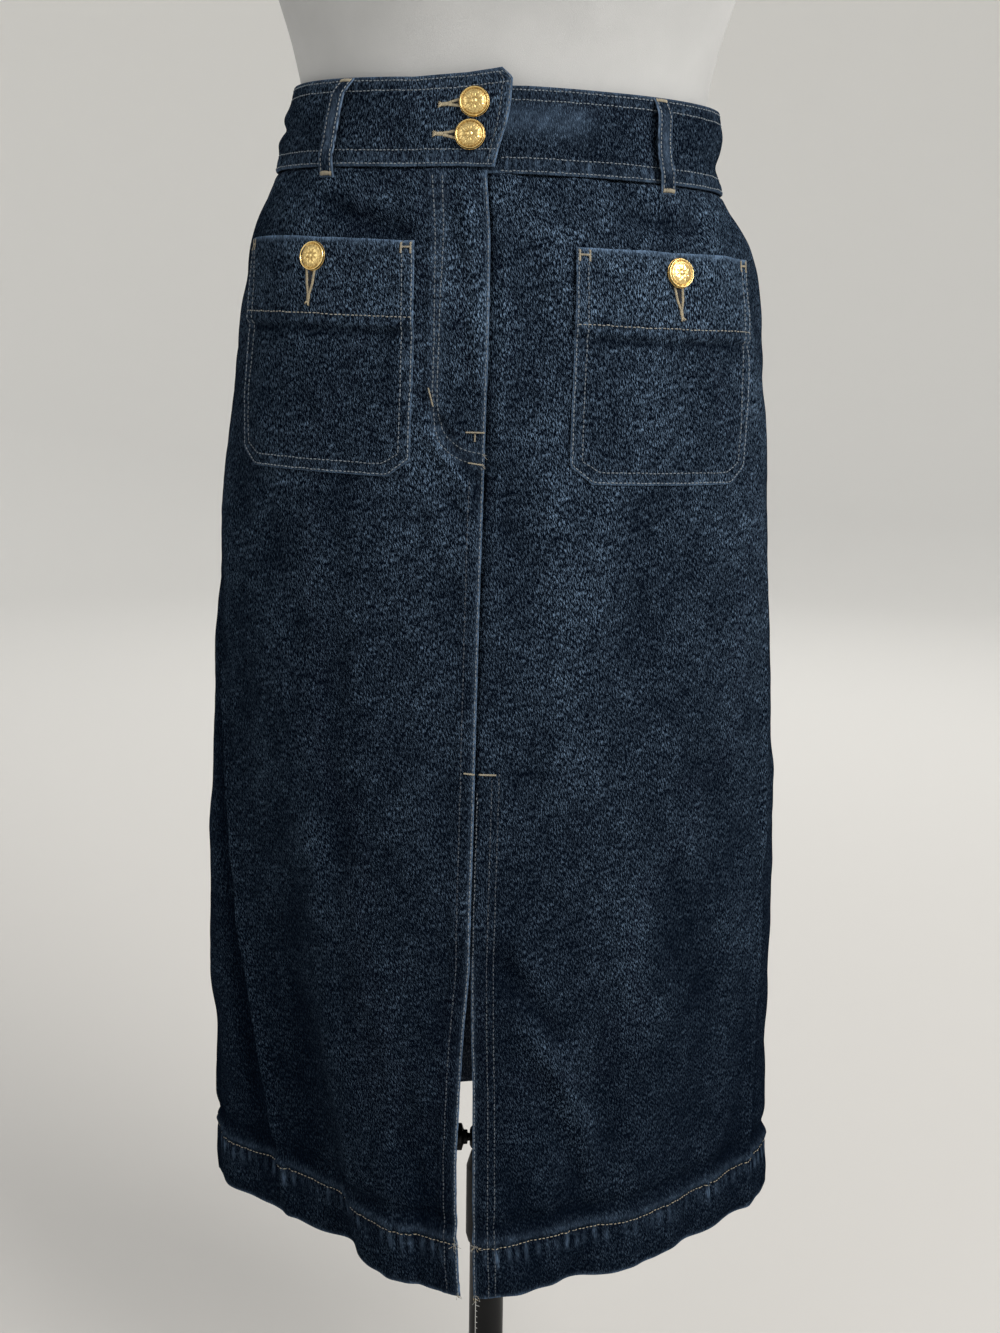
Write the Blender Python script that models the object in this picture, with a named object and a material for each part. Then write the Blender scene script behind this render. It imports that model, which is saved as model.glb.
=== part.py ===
"""Denim midi skirt on a limbless dress form with a height-adjustable stand.

Metres, +Z up, the skirt's front faces -Y. The origin is on the floor, under the
centre of the stand's round base.

The cloth is one smooth surface, body_surface(angle, height): a rounded ring at each
height above the hem, worked out from SECTIONS, with the hanging folds of FOLDS pressed
into it. Every cut piece is a wall between two offsets of that surface.
"""

import math

import bmesh
import bpy
import numpy as np
from mathutils import Matrix, Vector

# Heights of the garment, measured up from the hem.
HEM_LEVEL = 0.280  # the hem above the floor
WAIST_SEAM = 0.745  # the waistband's lower edge above the hem
LEAN = 0.034  # the waist sits this much lower for each metre towards +X

# The ring of cloth at each height.
SECTIONS = np.array(
    # height, half width, sideways, front depth, back depth, front squareness, back
    [
        (0.000, 0.2160, 0.0010, 0.161, 0.160, 1.42, 1.80),
        (0.110, 0.2130, -0.0005, 0.158, 0.158, 1.50, 1.85),
        (0.230, 0.2125, -0.0020, 0.153, 0.156, 1.65, 1.90),
        (0.420, 0.2020, -0.0015, 0.143, 0.150, 1.95, 2.05),
        (0.565, 0.1890, 0.0005, 0.131, 0.143, 2.15, 2.15),
        (0.669, 0.1780, 0.0020, 0.121, 0.130, 2.15, 2.15),
        (0.709, 0.1700, 0.0015, 0.115, 0.121, 2.15, 2.15),
        (0.745, 0.1520, -0.0010, 0.108, 0.110, 2.10, 2.10),
        (0.800, 0.1430, 0.0035, 0.100, 0.100, 2.05, 2.05),
    ]
)

# Folds that hang down to the hem: each is deepest there and runs out at its top.
FOLDS = np.array(
    # degrees from the front at the hem, the same at its top, top, half width in degrees, depth
    [
        (-47.0, -76.0, 0.50, 13.0, -0.020),
        (-70.0, -80.0, 0.45, 16.0, -0.010),
        (24.0, 30.0, 0.36, 11.0, -0.005),
        (62.0, 68.0, 0.52, 10.0, -0.005),
        (138.0, 146.0, 0.44, 12.0, -0.010),
        (176.0, 172.0, 0.40, 10.0, 0.007),
        (214.0, 205.0, 0.46, 12.0, -0.009),
    ]
)

# The cloth.
SINGLE = 0.0012  # one layer of denim
DOUBLE = 0.0024  # turned hem, facings and the waistband
LAYER_GAP = 0.0004  # between pieces that lie on or beside each other
STEP_WIDTH = 0.0006  # half the width over which a wall changes thickness
HEM_DEPTH = 0.037
FACING = 0.014  # the turned strip along the centre front edge and the slit

# The centre front line: how far the overlapping edge lies from the middle, by height.
FRONT_EDGE = np.array(
    # height, right front's edge, left front's edge
    [
        (0.000, -0.0184, -0.0092),
        (0.045, -0.0214, -0.0102),
        (0.095, -0.0210, -0.0098),
        (0.150, -0.0184, -0.0098),
        (0.190, -0.0155, -0.0105),
        (0.235, -0.0113, -0.0107),
        (0.350, -0.0094, -0.0089),
        (0.745, -0.0072, -0.0067),
    ]
)
FLY_END = 0.566  # the fly's lower end above the hem
FLY_FACING = 0.040
EDGE_RISE = 0.0010  # the overlapping front stands proud along its edge
UNDERLAP = np.array(
    # height, how far the underlap reaches past the edge, how far out it lies
    [
        (FLY_END - 0.008, 0.0, 0.0),
        (FLY_END - 0.004, 0.0, -0.0030),
        (FLY_END, 0.0026, -0.0030),
        (FLY_END + 0.004, 0.0340, -0.0030),
        (WAIST_SEAM, 0.0340, -0.0030),
    ]
)

# The patch pockets, measured along the cloth from the centre front.
POCKET_WIDTH = 0.134
POCKET_TOP = 0.0445  # below the waist seam
POCKET_HEM_LINE = 0.0915
POCKET_CORNER = WAIST_SEAM - FLY_END
POCKET_BOTTOM = 0.190
CORNER_CUT = 0.015
POCKET_START = {"pocket_right": -0.0545, "pocket_left": 0.0455}  # the edge next to the fly

# The waistband: one strip from the tab's end, round the back, to the underlap.
BAND_EDGES = np.array(
    # degrees from the front, lower edge, upper edge, how far it is moved out
    [
        (2.2, 0.7468, 0.8085, 0.0014),
        (-14.0, 0.7464, 0.8030, 0.0014),
        (-32.0, 0.7454, 0.8000, 0.0000),
        (-180.0, 0.7450, 0.8000, 0.0000),
        (-325.0, 0.7444, 0.7970, 0.0000),
        (-352.0, 0.7440, 0.7970, 0.0000),
        (-361.0, 0.7438, 0.7970, -0.0020),
        (-371.5, 0.7438, 0.7970, -0.0020),
    ]
)
BAND_STEPS = 58

# The belt loops.
LOOP_WIDTH = 0.0105
LOOP_WALL = 0.0016
LOOP_CLEAR = 0.0046  # between the band and the loop
LOOP_BELOW = 0.0075  # the loop's lower end below the waist seam
LOOP_ANGLES = {
    "belt_loop_front_right": -54.0,
    "belt_loop_front_left": 52.3,
    "belt_loop_back_right": -132.0,
    "belt_loop_back_left": 132.0,
    "belt_loop_back_centre": 180.0,
}

# The buttons: place along the cloth, height, and how far out the cloth under each lies.
BUTTON_RADIUS = 0.0094
BUTTONS = {
    "button_waist_upper": (-0.0185, 0.7850, 0.0014),
    "button_waist_lower": (-0.0188, 0.7653, 0.0014),
    "button_pocket_right": (-0.1225, 0.6885, 0.0028),
    "button_pocket_left": (0.1140, 0.6880, 0.0028),
}

# The dress form.
TORSO = np.array(
    # height above the hem, half width, front depth, back depth, squareness
    [
        (0.430, 0.118, 0.082, 0.090, 2.0),
        (0.437, 0.134, 0.094, 0.102, 2.0),
        (0.460, 0.153, 0.106, 0.116, 2.05),
        (0.510, 0.174, 0.117, 0.130, 2.1),
        (0.565, 0.1815, 0.122, 0.135, 2.1),
        (0.620, 0.1765, 0.117, 0.128, 2.1),
        (0.669, 0.1700, 0.112, 0.122, 2.1),
        (0.709, 0.1575, 0.104, 0.111, 2.1),
        (0.742, 0.1420, 0.0975, 0.102, 2.1),
        (0.800, 0.1365, 0.0920, 0.094, 2.05),
        (0.828, 0.1420, 0.096, 0.096, 2.05),
        (0.880, 0.1570, 0.112, 0.100, 2.1),
        (0.945, 0.1660, 0.132, 0.104, 2.1),
        (1.000, 0.1690, 0.142, 0.107, 2.1),
        (1.060, 0.1650, 0.126, 0.108, 2.2),
        (1.120, 0.1680, 0.100, 0.104, 2.3),
        (1.165, 0.1740, 0.084, 0.094, 2.3),
        (1.188, 0.1600, 0.074, 0.084, 2.2),
        (1.208, 0.1200, 0.066, 0.074, 2.1),
        (1.228, 0.0820, 0.059, 0.066, 2.0),
        (1.250, 0.0600, 0.055, 0.060, 2.0),
        (1.285, 0.0550, 0.053, 0.057, 2.0),
        (1.310, 0.0550, 0.053, 0.057, 2.0),
    ]
)
TORSO_SIDES = 36
TORSO_SIDEWAYS = 0.002

# The stand.
POLE_RADIUS = 0.0105
POLE_LOW = 0.130  # the pole's lower end, inside the column
COLUMN_RADIUS = 0.0135
COLUMN_BORE = 0.0112
COLLAR_RADIUS = 0.01675
COLLAR_LOW = -0.053  # from the hem
COLLAR_HIGH = 0.021
CLAMP_RADIUS = 0.0145
CLAMP_LOW = 0.0265
CLAMP_HIGH = 0.0415
CLAMP_NECK = 0.0120
KNOB_LEVEL = 0.034
KNOB_RADIUS = 0.0105
SCREW_RADIUS = 0.0030
RUNNING_GAP = 0.0003
BASE_RADIUS = 0.186
BASE_THICKNESS = 0.012
HUB_RADIUS = 0.034
HUB_TOP = 0.050
ROUND_SIDES = 32

MATERIALS = {
    # name: colour, roughness, metallic
    "denim": ((0.018, 0.028, 0.055), 0.85, 0.0),
    "gold_button": ((0.80, 0.55, 0.22), 0.28, 1.0),
    "form_cover": ((0.62, 0.63, 0.64), 0.8, 0.0),
    "black_steel": ((0.012, 0.012, 0.013), 0.35, 0.6),
    "black_plastic": ((0.015, 0.015, 0.016), 0.5, 0.0),
}


def clear_scene():
    for thing in list(bpy.data.objects):
        bpy.data.objects.remove(thing, do_unlink=True)


def make_materials():
    for name, (colour, roughness, metallic) in MATERIALS.items():
        material = bpy.data.materials.new(name)
        material.use_nodes = True
        shader = material.node_tree.nodes["Principled BSDF"]
        shader.inputs["Base Color"].default_value = (*colour, 1.0)
        shader.inputs["Roughness"].default_value = roughness
        shader.inputs["Metallic"].default_value = metallic


def smooth_column(table, column, height):
    """The value of one column of a table at any height, along a smooth cubic through its rows."""
    knots = table[:, 0]
    values = table[:, column]
    slopes = np.gradient(values, knots)
    row = np.clip(np.searchsorted(knots, height, side="right") - 1, 0, len(knots) - 2)
    gap = knots[row + 1] - knots[row]
    t = (height - knots[row]) / gap
    start = (1 + 2 * t) * (1 - t) ** 2 * values[row] + t * (1 - t) ** 2 * gap * slopes[row]
    end = t * t * (3 - 2 * t) * values[row + 1] + t * t * (t - 1) * gap * slopes[row + 1]
    return start + end


def ring_radius(angle, height):
    """Distance from the ring's middle to the unfolded cloth: a rounded, squared-off oval."""
    half_width, front, back, front_square, back_square = (
        smooth_column(SECTIONS, column, height) for column in (1, 3, 4, 5, 6)
    )
    faces_front = np.cos(angle) > 0
    depth = np.where(faces_front, front, back)
    square = np.where(faces_front, front_square, back_square)
    across = (np.abs(np.sin(angle)) / half_width) ** square
    along = (np.abs(np.cos(angle)) / depth) ** square
    return (across + along) ** (-1 / square)


def fold_depth(angle, height):
    """How far the hanging folds move the cloth in or out at each place."""
    total = np.zeros(np.broadcast(angle, height).shape)
    for at_hem, at_top, top, width, depth in FOLDS:
        strength = np.clip(1 - height / top, 0, 1)
        middle = np.radians(at_top + (at_hem - at_top) * strength)
        away = (angle - middle + math.pi) % (2 * math.pi) - math.pi
        total = total + depth * strength**0.8 * np.exp(-((away / math.radians(width)) ** 2))
    return total


def body_surface(angle, height):
    """Points of the cloth's outer face, by angle from the front and height above the hem."""
    radius = ring_radius(angle, height) + fold_depth(angle, height)
    x = smooth_column(SECTIONS, 2, height) + radius * np.sin(angle)
    y = -radius * np.cos(angle)
    return np.stack([x, y, HEM_LEVEL + height - LEAN * x * height / WAIST_SEAM], axis=-1)


def outward(angle, height):
    """The unit normal of body_surface, from its slopes both ways."""
    small = 1e-4
    across = body_surface(angle + small, height) - body_surface(angle - small, height)
    along = body_surface(angle, height + small) - body_surface(angle, height - small)
    normal = np.cross(across, along)
    return normal / np.linalg.norm(normal, axis=-1, keepdims=True)


def cloth(angle, height, out):
    """Points of the cloth moved out along its normal."""
    angle, height, out = np.broadcast_arrays(angle, height, out)
    return body_surface(angle, height) + outward(angle, height) * out[..., None]


def angle_of(along, height):
    """The angle that lies a given distance along the unfolded cloth from the centre front."""
    along, height = np.broadcast_arrays(np.asarray(along, float), np.asarray(height, float))
    angles = np.radians(np.arange(-180.0, 180.5, 0.5))
    found = np.empty(along.shape)
    for level in np.unique(height):
        radius = ring_radius(angles, level)
        steps = np.hypot(np.diff(radius * np.sin(angles)), np.diff(radius * np.cos(angles)))
        lengths = np.concatenate([[0.0], np.cumsum(steps)])
        lengths -= lengths[len(angles) // 2]
        here = height == level
        found[here] = np.interp(along[here], lengths, angles)
    return found


def make_object(name, points, faces, material):
    """One closed object, its doubled points merged and its faces turned outwards."""
    mesh = bpy.data.meshes.new(name)
    mesh.from_pydata(np.asarray(points).tolist(), [], np.asarray(faces).tolist())
    body = bmesh.new()
    body.from_mesh(mesh)
    bmesh.ops.remove_doubles(body, verts=body.verts, dist=1e-6)
    bmesh.ops.recalc_face_normals(body, faces=body.faces)
    body.to_mesh(mesh)
    body.free()
    mesh.materials.append(bpy.data.materials[material])
    mesh.shade_smooth()
    mesh.set_sharp_from_angle(angle=math.radians(40))
    thing = bpy.data.objects.new(name, mesh)
    bpy.context.scene.collection.objects.link(thing)
    return thing


def make_wall(name, outer, inner, material="denim"):
    """A closed wall between two grids of points, rows by columns."""
    rows, columns = outer.shape[:2]
    count = rows * columns
    index = np.arange(count).reshape(rows, columns)
    front = np.stack(
        [index[:-1, :-1], index[:-1, 1:], index[1:, 1:], index[1:, :-1]], axis=-1
    ).reshape(-1, 4)
    back = front[:, ::-1] + count
    rim = np.concatenate([index[0], index[1:, -1], index[-1, -2::-1], index[-2:0:-1, 0]])
    following = np.roll(rim, -1)
    edge = np.stack([rim, rim + count, following + count, following], axis=-1)
    points = np.concatenate([outer.reshape(-1, 3), inner.reshape(-1, 3)])
    return make_object(name, points, np.concatenate([front, back, edge]), material)


def make_turned(name, profile, material, sides=ROUND_SIDES, hollow=False):
    """A profile of (radius, height) turned round Z. A hollow one closes on itself."""
    profile = np.array(profile)
    turn = np.linspace(0, 2 * math.pi, sides, endpoint=False)
    radius = profile[:, 0, None]
    points = np.stack(
        [radius * np.cos(turn), radius * np.sin(turn), np.repeat(profile[:, 1:], sides, 1)], axis=-1
    )
    rows = len(profile)
    index = np.arange(rows * sides).reshape(rows, sides)
    if hollow:
        index = np.vstack([index, index[:1]])
    following = np.roll(index, -1, axis=1)
    faces = np.stack([index[:-1], following[:-1], following[1:], index[1:]], axis=-1)
    return make_object(name, points.reshape(-1, 3), faces.reshape(-1, 4), material)


def band_lower_edge(angle, under_tab=False):
    """The waistband's lower edge at an angle from the front: the tab's, or its other end's."""
    tab_from = math.radians(-30.0 if under_tab else BAND_EDGES[0, 0])
    turned_on = np.where(angle > tab_from, angle - 2 * math.pi, angle)
    table = BAND_EDGES[::-1]
    return np.interp(np.degrees(turned_on), table[:, 0], table[:, 1])


def panel_rows(extra=()):
    """Heights of a panel's rows, from the waist seam down to the hem."""
    under_band = [WAIST_SEAM, 0.736, 0.724]
    pocket = [WAIST_SEAM - drop for drop in (POCKET_TOP, POCKET_HEM_LINE, POCKET_CORNER, POCKET_BOTTOM)]
    between = [0.677, 0.625, 0.595]
    below = list(np.linspace(0.520, 0.400, 4)) + list(np.linspace(0.360, 0.060, 9))
    hem = [HEM_DEPTH + STEP_WIDTH, HEM_DEPTH - STEP_WIDTH, 0.0]
    heights = [*under_band, *pocket, *between, *below, *hem, *extra]
    return np.unique(np.round(heights, 5))[::-1]


def meet_band(angle, height, under_tab=False):
    """Pulls the top row of a panel to just under the waistband's lower edge."""
    edge = band_lower_edge(angle[0], under_tab) - LAYER_GAP
    return np.vstack([edge, np.minimum(height[1:], edge - 0.004)])


def pocket_columns(name):
    """The pocket's columns along the cloth, from the fly outwards, with one at each cut corner."""
    start = POCKET_START[name]
    side = math.copysign(1, start)
    middle = np.linspace(CORNER_CUT, POCKET_WIDTH - CORNER_CUT, 5)
    return start + side * np.concatenate([[0.0], middle, [POCKET_WIDTH]])


def side_columns(along_last, height, side):
    """Angles from a pocket's outer edge to the side seam, the last a hair short of it."""
    seam = side * (math.pi / 2 + math.radians(2.0) - 0.0012)
    start = angle_of(along_last, height)
    return start + (seam - start) * np.array([0.34, 0.67, 1.0])


def front_edge(column, height):
    return np.interp(height, FRONT_EDGE[:, 0], FRONT_EDGE[:, column])


def make_front_right():
    """The wearer's right front, which laps over at the fly and runs down to the slit."""
    rows = panel_rows(extra=(FLY_END + 0.02,))
    height = rows[:, None]
    edge = front_edge(1, height)
    facing = np.where(height > FLY_END, FLY_FACING, FACING)
    pocket = np.broadcast_to(pocket_columns("pocket_right"), (len(rows), 7))
    facing_end = edge - facing - STEP_WIDTH
    near = edge - facing * np.array([0.0, 0.33, 0.66, 1.0]) + STEP_WIDTH * np.array([0, 0, 0, 1.0])
    columns = np.hstack([near, facing_end, (facing_end + pocket[:, :1]) / 2, pocket])
    angle = np.hstack([angle_of(columns, height), side_columns(columns[:, -1:], height, -1)])
    height = meet_band(angle, np.broadcast_to(height, angle.shape))
    out = np.zeros(angle.shape)
    out[:, :4] = EDGE_RISE
    doubled = np.zeros(angle.shape, bool)
    doubled[:, :4] = True
    doubled[rows < HEM_DEPTH] = True
    wall = np.where(doubled, DOUBLE, SINGLE)
    make_wall("front_right_panel", cloth(angle, height, out), cloth(angle, height, out - wall))


def make_front_left():
    """The wearer's left front, with the underlap that the fly closes over."""
    rows = panel_rows(extra=UNDERLAP[:-1, 0])
    height = rows[:, None]
    edge = front_edge(2, height)
    reach, drop = (np.interp(height, UNDERLAP[:, 0], UNDERLAP[:, column]) for column in (1, 2))
    in_fly = reach > 0
    near = np.hstack(
        [
            edge - reach,
            np.where(in_fly, edge - 0.0010 - reach / 2, edge + 0.0006),
            np.where(in_fly, edge - 0.0020, edge + 0.0012),
            edge + 0.0050,
            edge + FACING - STEP_WIDTH,
            edge + FACING + STEP_WIDTH,
        ]
    )
    pocket = np.broadcast_to(pocket_columns("pocket_left"), (len(rows), 7))
    columns = np.hstack([near, (near[:, -1:] + pocket[:, :1]) / 2, pocket])
    angle = np.hstack([angle_of(columns, height), side_columns(columns[:, -1:], height, 1)])
    height = meet_band(angle, np.broadcast_to(height, angle.shape), under_tab=True)
    out = np.zeros(angle.shape)
    out[:, :3] = drop
    doubled = np.zeros(angle.shape, bool)
    doubled[:, :5] = ~in_fly
    doubled[rows < HEM_DEPTH] = True
    wall = np.where(doubled, DOUBLE, SINGLE)
    make_wall("front_left_panel", cloth(angle, height, out), cloth(angle, height, out - wall))


def make_back():
    """The back panel, from side seam to side seam."""
    rows = panel_rows()
    seam = math.pi / 2 + math.radians(2.0) + 0.0012
    angle = np.broadcast_to(np.linspace(seam, 2 * math.pi - seam, 21), (len(rows), 21))
    height = meet_band(angle, np.broadcast_to(rows[:, None], angle.shape))
    wall = np.where(rows < HEM_DEPTH, DOUBLE, SINGLE)[:, None]
    make_wall("back_panel", cloth(angle, height, 0.0), cloth(angle, height, -wall))


def make_waistband():
    """The waistband: the tab's end laps over its other end at the front."""
    degrees = np.linspace(BAND_EDGES[0, 0], BAND_EDGES[-1, 0], BAND_STEPS + 1)
    table = BAND_EDGES[::-1]
    lower, upper, out = (np.interp(degrees, table[:, 0], table[:, column]) for column in (1, 2, 3))
    share = np.array([0.0, 0.5, 1.0])[:, None]
    height = lower + (upper - lower) * share
    angle = np.broadcast_to(np.radians(degrees), height.shape)
    make_wall("waistband", cloth(angle, height, out), cloth(angle, height, out - DOUBLE))


def make_pocket(name):
    """A patch pocket with two cut corners and a deep turned hem along its top."""
    top, line, corner, bottom = (
        WAIST_SEAM - drop for drop in (POCKET_TOP, POCKET_HEM_LINE, POCKET_CORNER, POCKET_BOTTOM)
    )
    rows = np.array([top, 0.677, line, line - 2 * STEP_WIDTH, 0.625, 0.595, corner, bottom])
    columns = np.tile(pocket_columns(name), (len(rows), 1))
    columns[-1, 0] = columns[-1, 1]
    columns[-1, -1] = columns[-1, -2]
    height = np.broadcast_to(rows[:, None], columns.shape)
    angle = angle_of(columns, height)
    wall = np.where(rows > line - STEP_WIDTH, DOUBLE, SINGLE)[:, None]
    make_wall(name, cloth(angle, height, LAYER_GAP + wall), cloth(angle, height, LAYER_GAP))


def make_belt_loop(name, degrees):
    """A narrow strip that bows out over the waistband, held down at both its ends."""
    share = np.linspace(0.0, 1.0, 11)
    table = BAND_EDGES[::-1]
    turned_on = degrees if degrees < 0 else degrees - 360
    upper = np.interp(turned_on, table[:, 0], table[:, 2])
    lower = band_lower_edge(math.radians(degrees)) - LOOP_BELOW
    height = (lower + (upper - lower) * share)[:, None]
    rise = np.minimum(1.0, np.minimum(share, 1 - share) / 0.22)
    bow = LAYER_GAP + LOOP_CLEAR * (3 * rise**2 - 2 * rise**3)
    middle = math.radians(degrees)
    half_turn = LOOP_WIDTH / 2 / ring_radius(middle, WAIST_SEAM)
    angle = middle + half_turn * np.array([-1.0, 1.0])
    inner = cloth(angle, height, bow[:, None])
    outer = cloth(angle, height, bow[:, None] + LOOP_WALL)
    make_wall(name, outer, inner)


def make_button(name, along, height, under):
    """A domed shank button with a raised rim, standing square on the cloth."""
    r = BUTTON_RADIUS
    profile = [
        (0.0, 0.0004),
        (0.0024, 0.0004),
        (0.0024, 0.0014),
        (r * 0.93, 0.0014),
        (r, 0.0021),
        (r, 0.0029),
        (r * 0.92, 0.0035),
        (r * 0.84, 0.0031),
        (r * 0.50, 0.0042),
        (0.0, 0.0047),
    ]
    button = make_turned(name, profile, "gold_button", sides=22)
    angle = angle_of(along, height)
    place = cloth(angle, height, under)
    turn = Vector(outward(angle, height)).to_track_quat("Z", "Y")
    button.matrix_world = Matrix.Translation(Vector(place)) @ turn.to_matrix().to_4x4()


def make_torso():
    """The form's body: a smooth oval ring at each height, closed flat at the seat and the neck."""
    angle = np.linspace(0, 2 * math.pi, TORSO_SIDES, endpoint=False)
    rows = TORSO[:, 0]
    half_width, front, back, square = (TORSO[:, column, None] for column in (1, 2, 3, 4))
    depth = np.where(np.cos(angle) > 0, front, back)
    across = (np.abs(np.sin(angle)) / half_width) ** square
    along = (np.abs(np.cos(angle)) / depth) ** square
    radius = (across + along) ** (-1 / square)
    x = TORSO_SIDEWAYS + radius * np.sin(angle)
    points = np.stack([x, -radius * np.cos(angle), HEM_LEVEL + rows[:, None] + 0 * x], axis=-1)
    ends = points[[0, -1]].mean(axis=1, keepdims=True).repeat(TORSO_SIDES, axis=1)
    points = np.concatenate([ends[:1], points, ends[1:]])
    index = np.arange(len(points) * TORSO_SIDES).reshape(len(points), TORSO_SIDES)
    following = np.roll(index, -1, axis=1)
    faces = np.stack([index[:-1], following[:-1], following[1:], index[1:]], axis=-1)
    make_object("torso", points.reshape(-1, 3), faces.reshape(-1, 4), "form_cover")


def make_neck_cap():
    top = HEM_LEVEL + TORSO[-1, 0] + LAYER_GAP
    profile = [
        (0.0, top),
        (0.050, top),
        (0.053, top + 0.004),
        (0.050, top + 0.012),
        (0.034, top + 0.020),
        (0.012, top + 0.024),
        (0.009, top + 0.030),
        (0.014, top + 0.038),
        (0.010, top + 0.046),
        (0.0, top + 0.049),
    ]
    make_turned("neck_cap", profile, "black_plastic")


def make_stand():
    pole_top = HEM_LEVEL + TORSO[0, 0] - LAYER_GAP
    make_turned(
        "upper_pole",
        [(0.0, POLE_LOW), (POLE_RADIUS, POLE_LOW), (POLE_RADIUS, pole_top), (0.0, pole_top)],
        "black_steel",
    )
    column_low = HUB_TOP + LAYER_GAP
    column_high = HEM_LEVEL - 0.0125
    make_turned(
        "lower_column",
        [
            (COLUMN_BORE, column_low),
            (COLUMN_RADIUS, column_low),
            (COLUMN_RADIUS, column_high),
            (COLUMN_BORE, column_high),
        ],
        "black_steel",
        hollow=True,
    )
    bore = POLE_RADIUS + RUNNING_GAP
    sleeve = COLUMN_RADIUS + LAYER_GAP
    step = column_high + LAYER_GAP
    collar = make_turned(
        "collar",
        [
            (sleeve, HEM_LEVEL + COLLAR_LOW),
            (COLLAR_RADIUS, HEM_LEVEL + COLLAR_LOW),
            (COLLAR_RADIUS, HEM_LEVEL + COLLAR_HIGH - 0.002),
            (COLLAR_RADIUS - 0.002, HEM_LEVEL + COLLAR_HIGH),
            (CLAMP_NECK, HEM_LEVEL + COLLAR_HIGH),
            (CLAMP_NECK, HEM_LEVEL + CLAMP_LOW),
            (CLAMP_RADIUS, HEM_LEVEL + CLAMP_LOW),
            (CLAMP_RADIUS, HEM_LEVEL + CLAMP_HIGH),
            (bore, HEM_LEVEL + CLAMP_HIGH),
            (bore, step),
            (sleeve, step),
        ],
        "black_plastic",
        hollow=True,
    )
    base_profile = [
        (0.0, 0.0),
        (BASE_RADIUS - 0.002, 0.0),
        (BASE_RADIUS, 0.002),
        (BASE_RADIUS, BASE_THICKNESS - 0.004),
        (BASE_RADIUS - 0.004, BASE_THICKNESS),
        (HUB_RADIUS, BASE_THICKNESS + 0.003),
        (HUB_RADIUS - 0.003, HUB_TOP - 0.012),
        (HUB_RADIUS - 0.014, HUB_TOP),
        (0.0, HUB_TOP),
    ]
    make_turned("stand_base", base_profile, "black_steel", sides=64)
    return collar


def make_clamp_knob(collar):
    """The clamp's lobed knob on its screw, in a round hole through the collar's clamp ring."""
    level = HEM_LEVEL + KNOB_LEVEL
    towards = Matrix.Translation((0.0, 0.0, level)) @ Matrix.Rotation(-math.pi / 2, 4, "Y")
    cutter = make_turned(
        "knob_hole",
        [
            (0.0, POLE_RADIUS - 0.002),
            (SCREW_RADIUS + RUNNING_GAP, POLE_RADIUS - 0.002),
            (SCREW_RADIUS + RUNNING_GAP, CLAMP_RADIUS + 0.002),
            (0.0, CLAMP_RADIUS + 0.002),
        ],
        "black_plastic",
        sides=20,
    )
    cutter.matrix_world = towards
    cutter.hide_render = True
    cutter.display_type = "WIRE"
    cut = collar.modifiers.new("knob hole", "BOOLEAN")
    cut.operation = "DIFFERENCE"
    cut.object = cutter
    sides = 30
    turn = np.linspace(0, 2 * math.pi, sides, endpoint=False)
    lobes = 1 + 0.07 * np.cos(6 * turn)
    neck = CLAMP_RADIUS + 0.0016
    profile = [
        # radius, distance out from the pole's axis, whether it follows the lobes
        (0.0, POLE_RADIUS + 0.0006, False),
        (SCREW_RADIUS, POLE_RADIUS + 0.0006, False),
        (SCREW_RADIUS, neck, False),
        (0.0055, neck, False),
        (0.0055, neck + 0.003, False),
        (KNOB_RADIUS, neck + 0.0045, True),
        (KNOB_RADIUS, neck + 0.0120, True),
        (KNOB_RADIUS * 0.84, neck + 0.0140, True),
        (0.0, neck + 0.0140, False),
    ]
    points = []
    for r, z, lobed in profile:
        radius = r * lobes if lobed else np.full(sides, r)
        points.append(np.stack([radius * np.cos(turn), radius * np.sin(turn), np.full(sides, z)], axis=-1))
    index = np.arange(len(profile) * sides).reshape(len(profile), sides)
    following = np.roll(index, -1, axis=1)
    faces = np.stack([index[:-1], following[:-1], following[1:], index[1:]], axis=-1)
    knob = make_object("clamp_knob", np.concatenate(points), faces.reshape(-1, 4), "black_plastic")
    knob.matrix_world = towards


def main():
    clear_scene()
    make_materials()
    make_front_right()
    make_front_left()
    make_back()
    make_waistband()
    for name in POCKET_START:
        make_pocket(name)
    for name, degrees in LOOP_ANGLES.items():
        make_belt_loop(name, degrees)
    for name, (along, height, under) in BUTTONS.items():
        make_button(name, along, height, under)
    make_torso()
    make_neck_cap()
    collar = make_stand()
    make_clamp_knob(collar)


main()
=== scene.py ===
"""Denim midi skirt on a limbless dress form: its cloth, stitching, buttons, form and stand.

Metres, +Z up, the front faces -Y. The cloth is one smooth surface, worked out from the same
sections and folds as the frame's solids, with soft creases, seams and puckers added as small
moves along its normal. A place on it is (along, height): metres along the cloth from the
centre front, positive towards +X, and metres above the hem.
"""

import math

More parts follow.
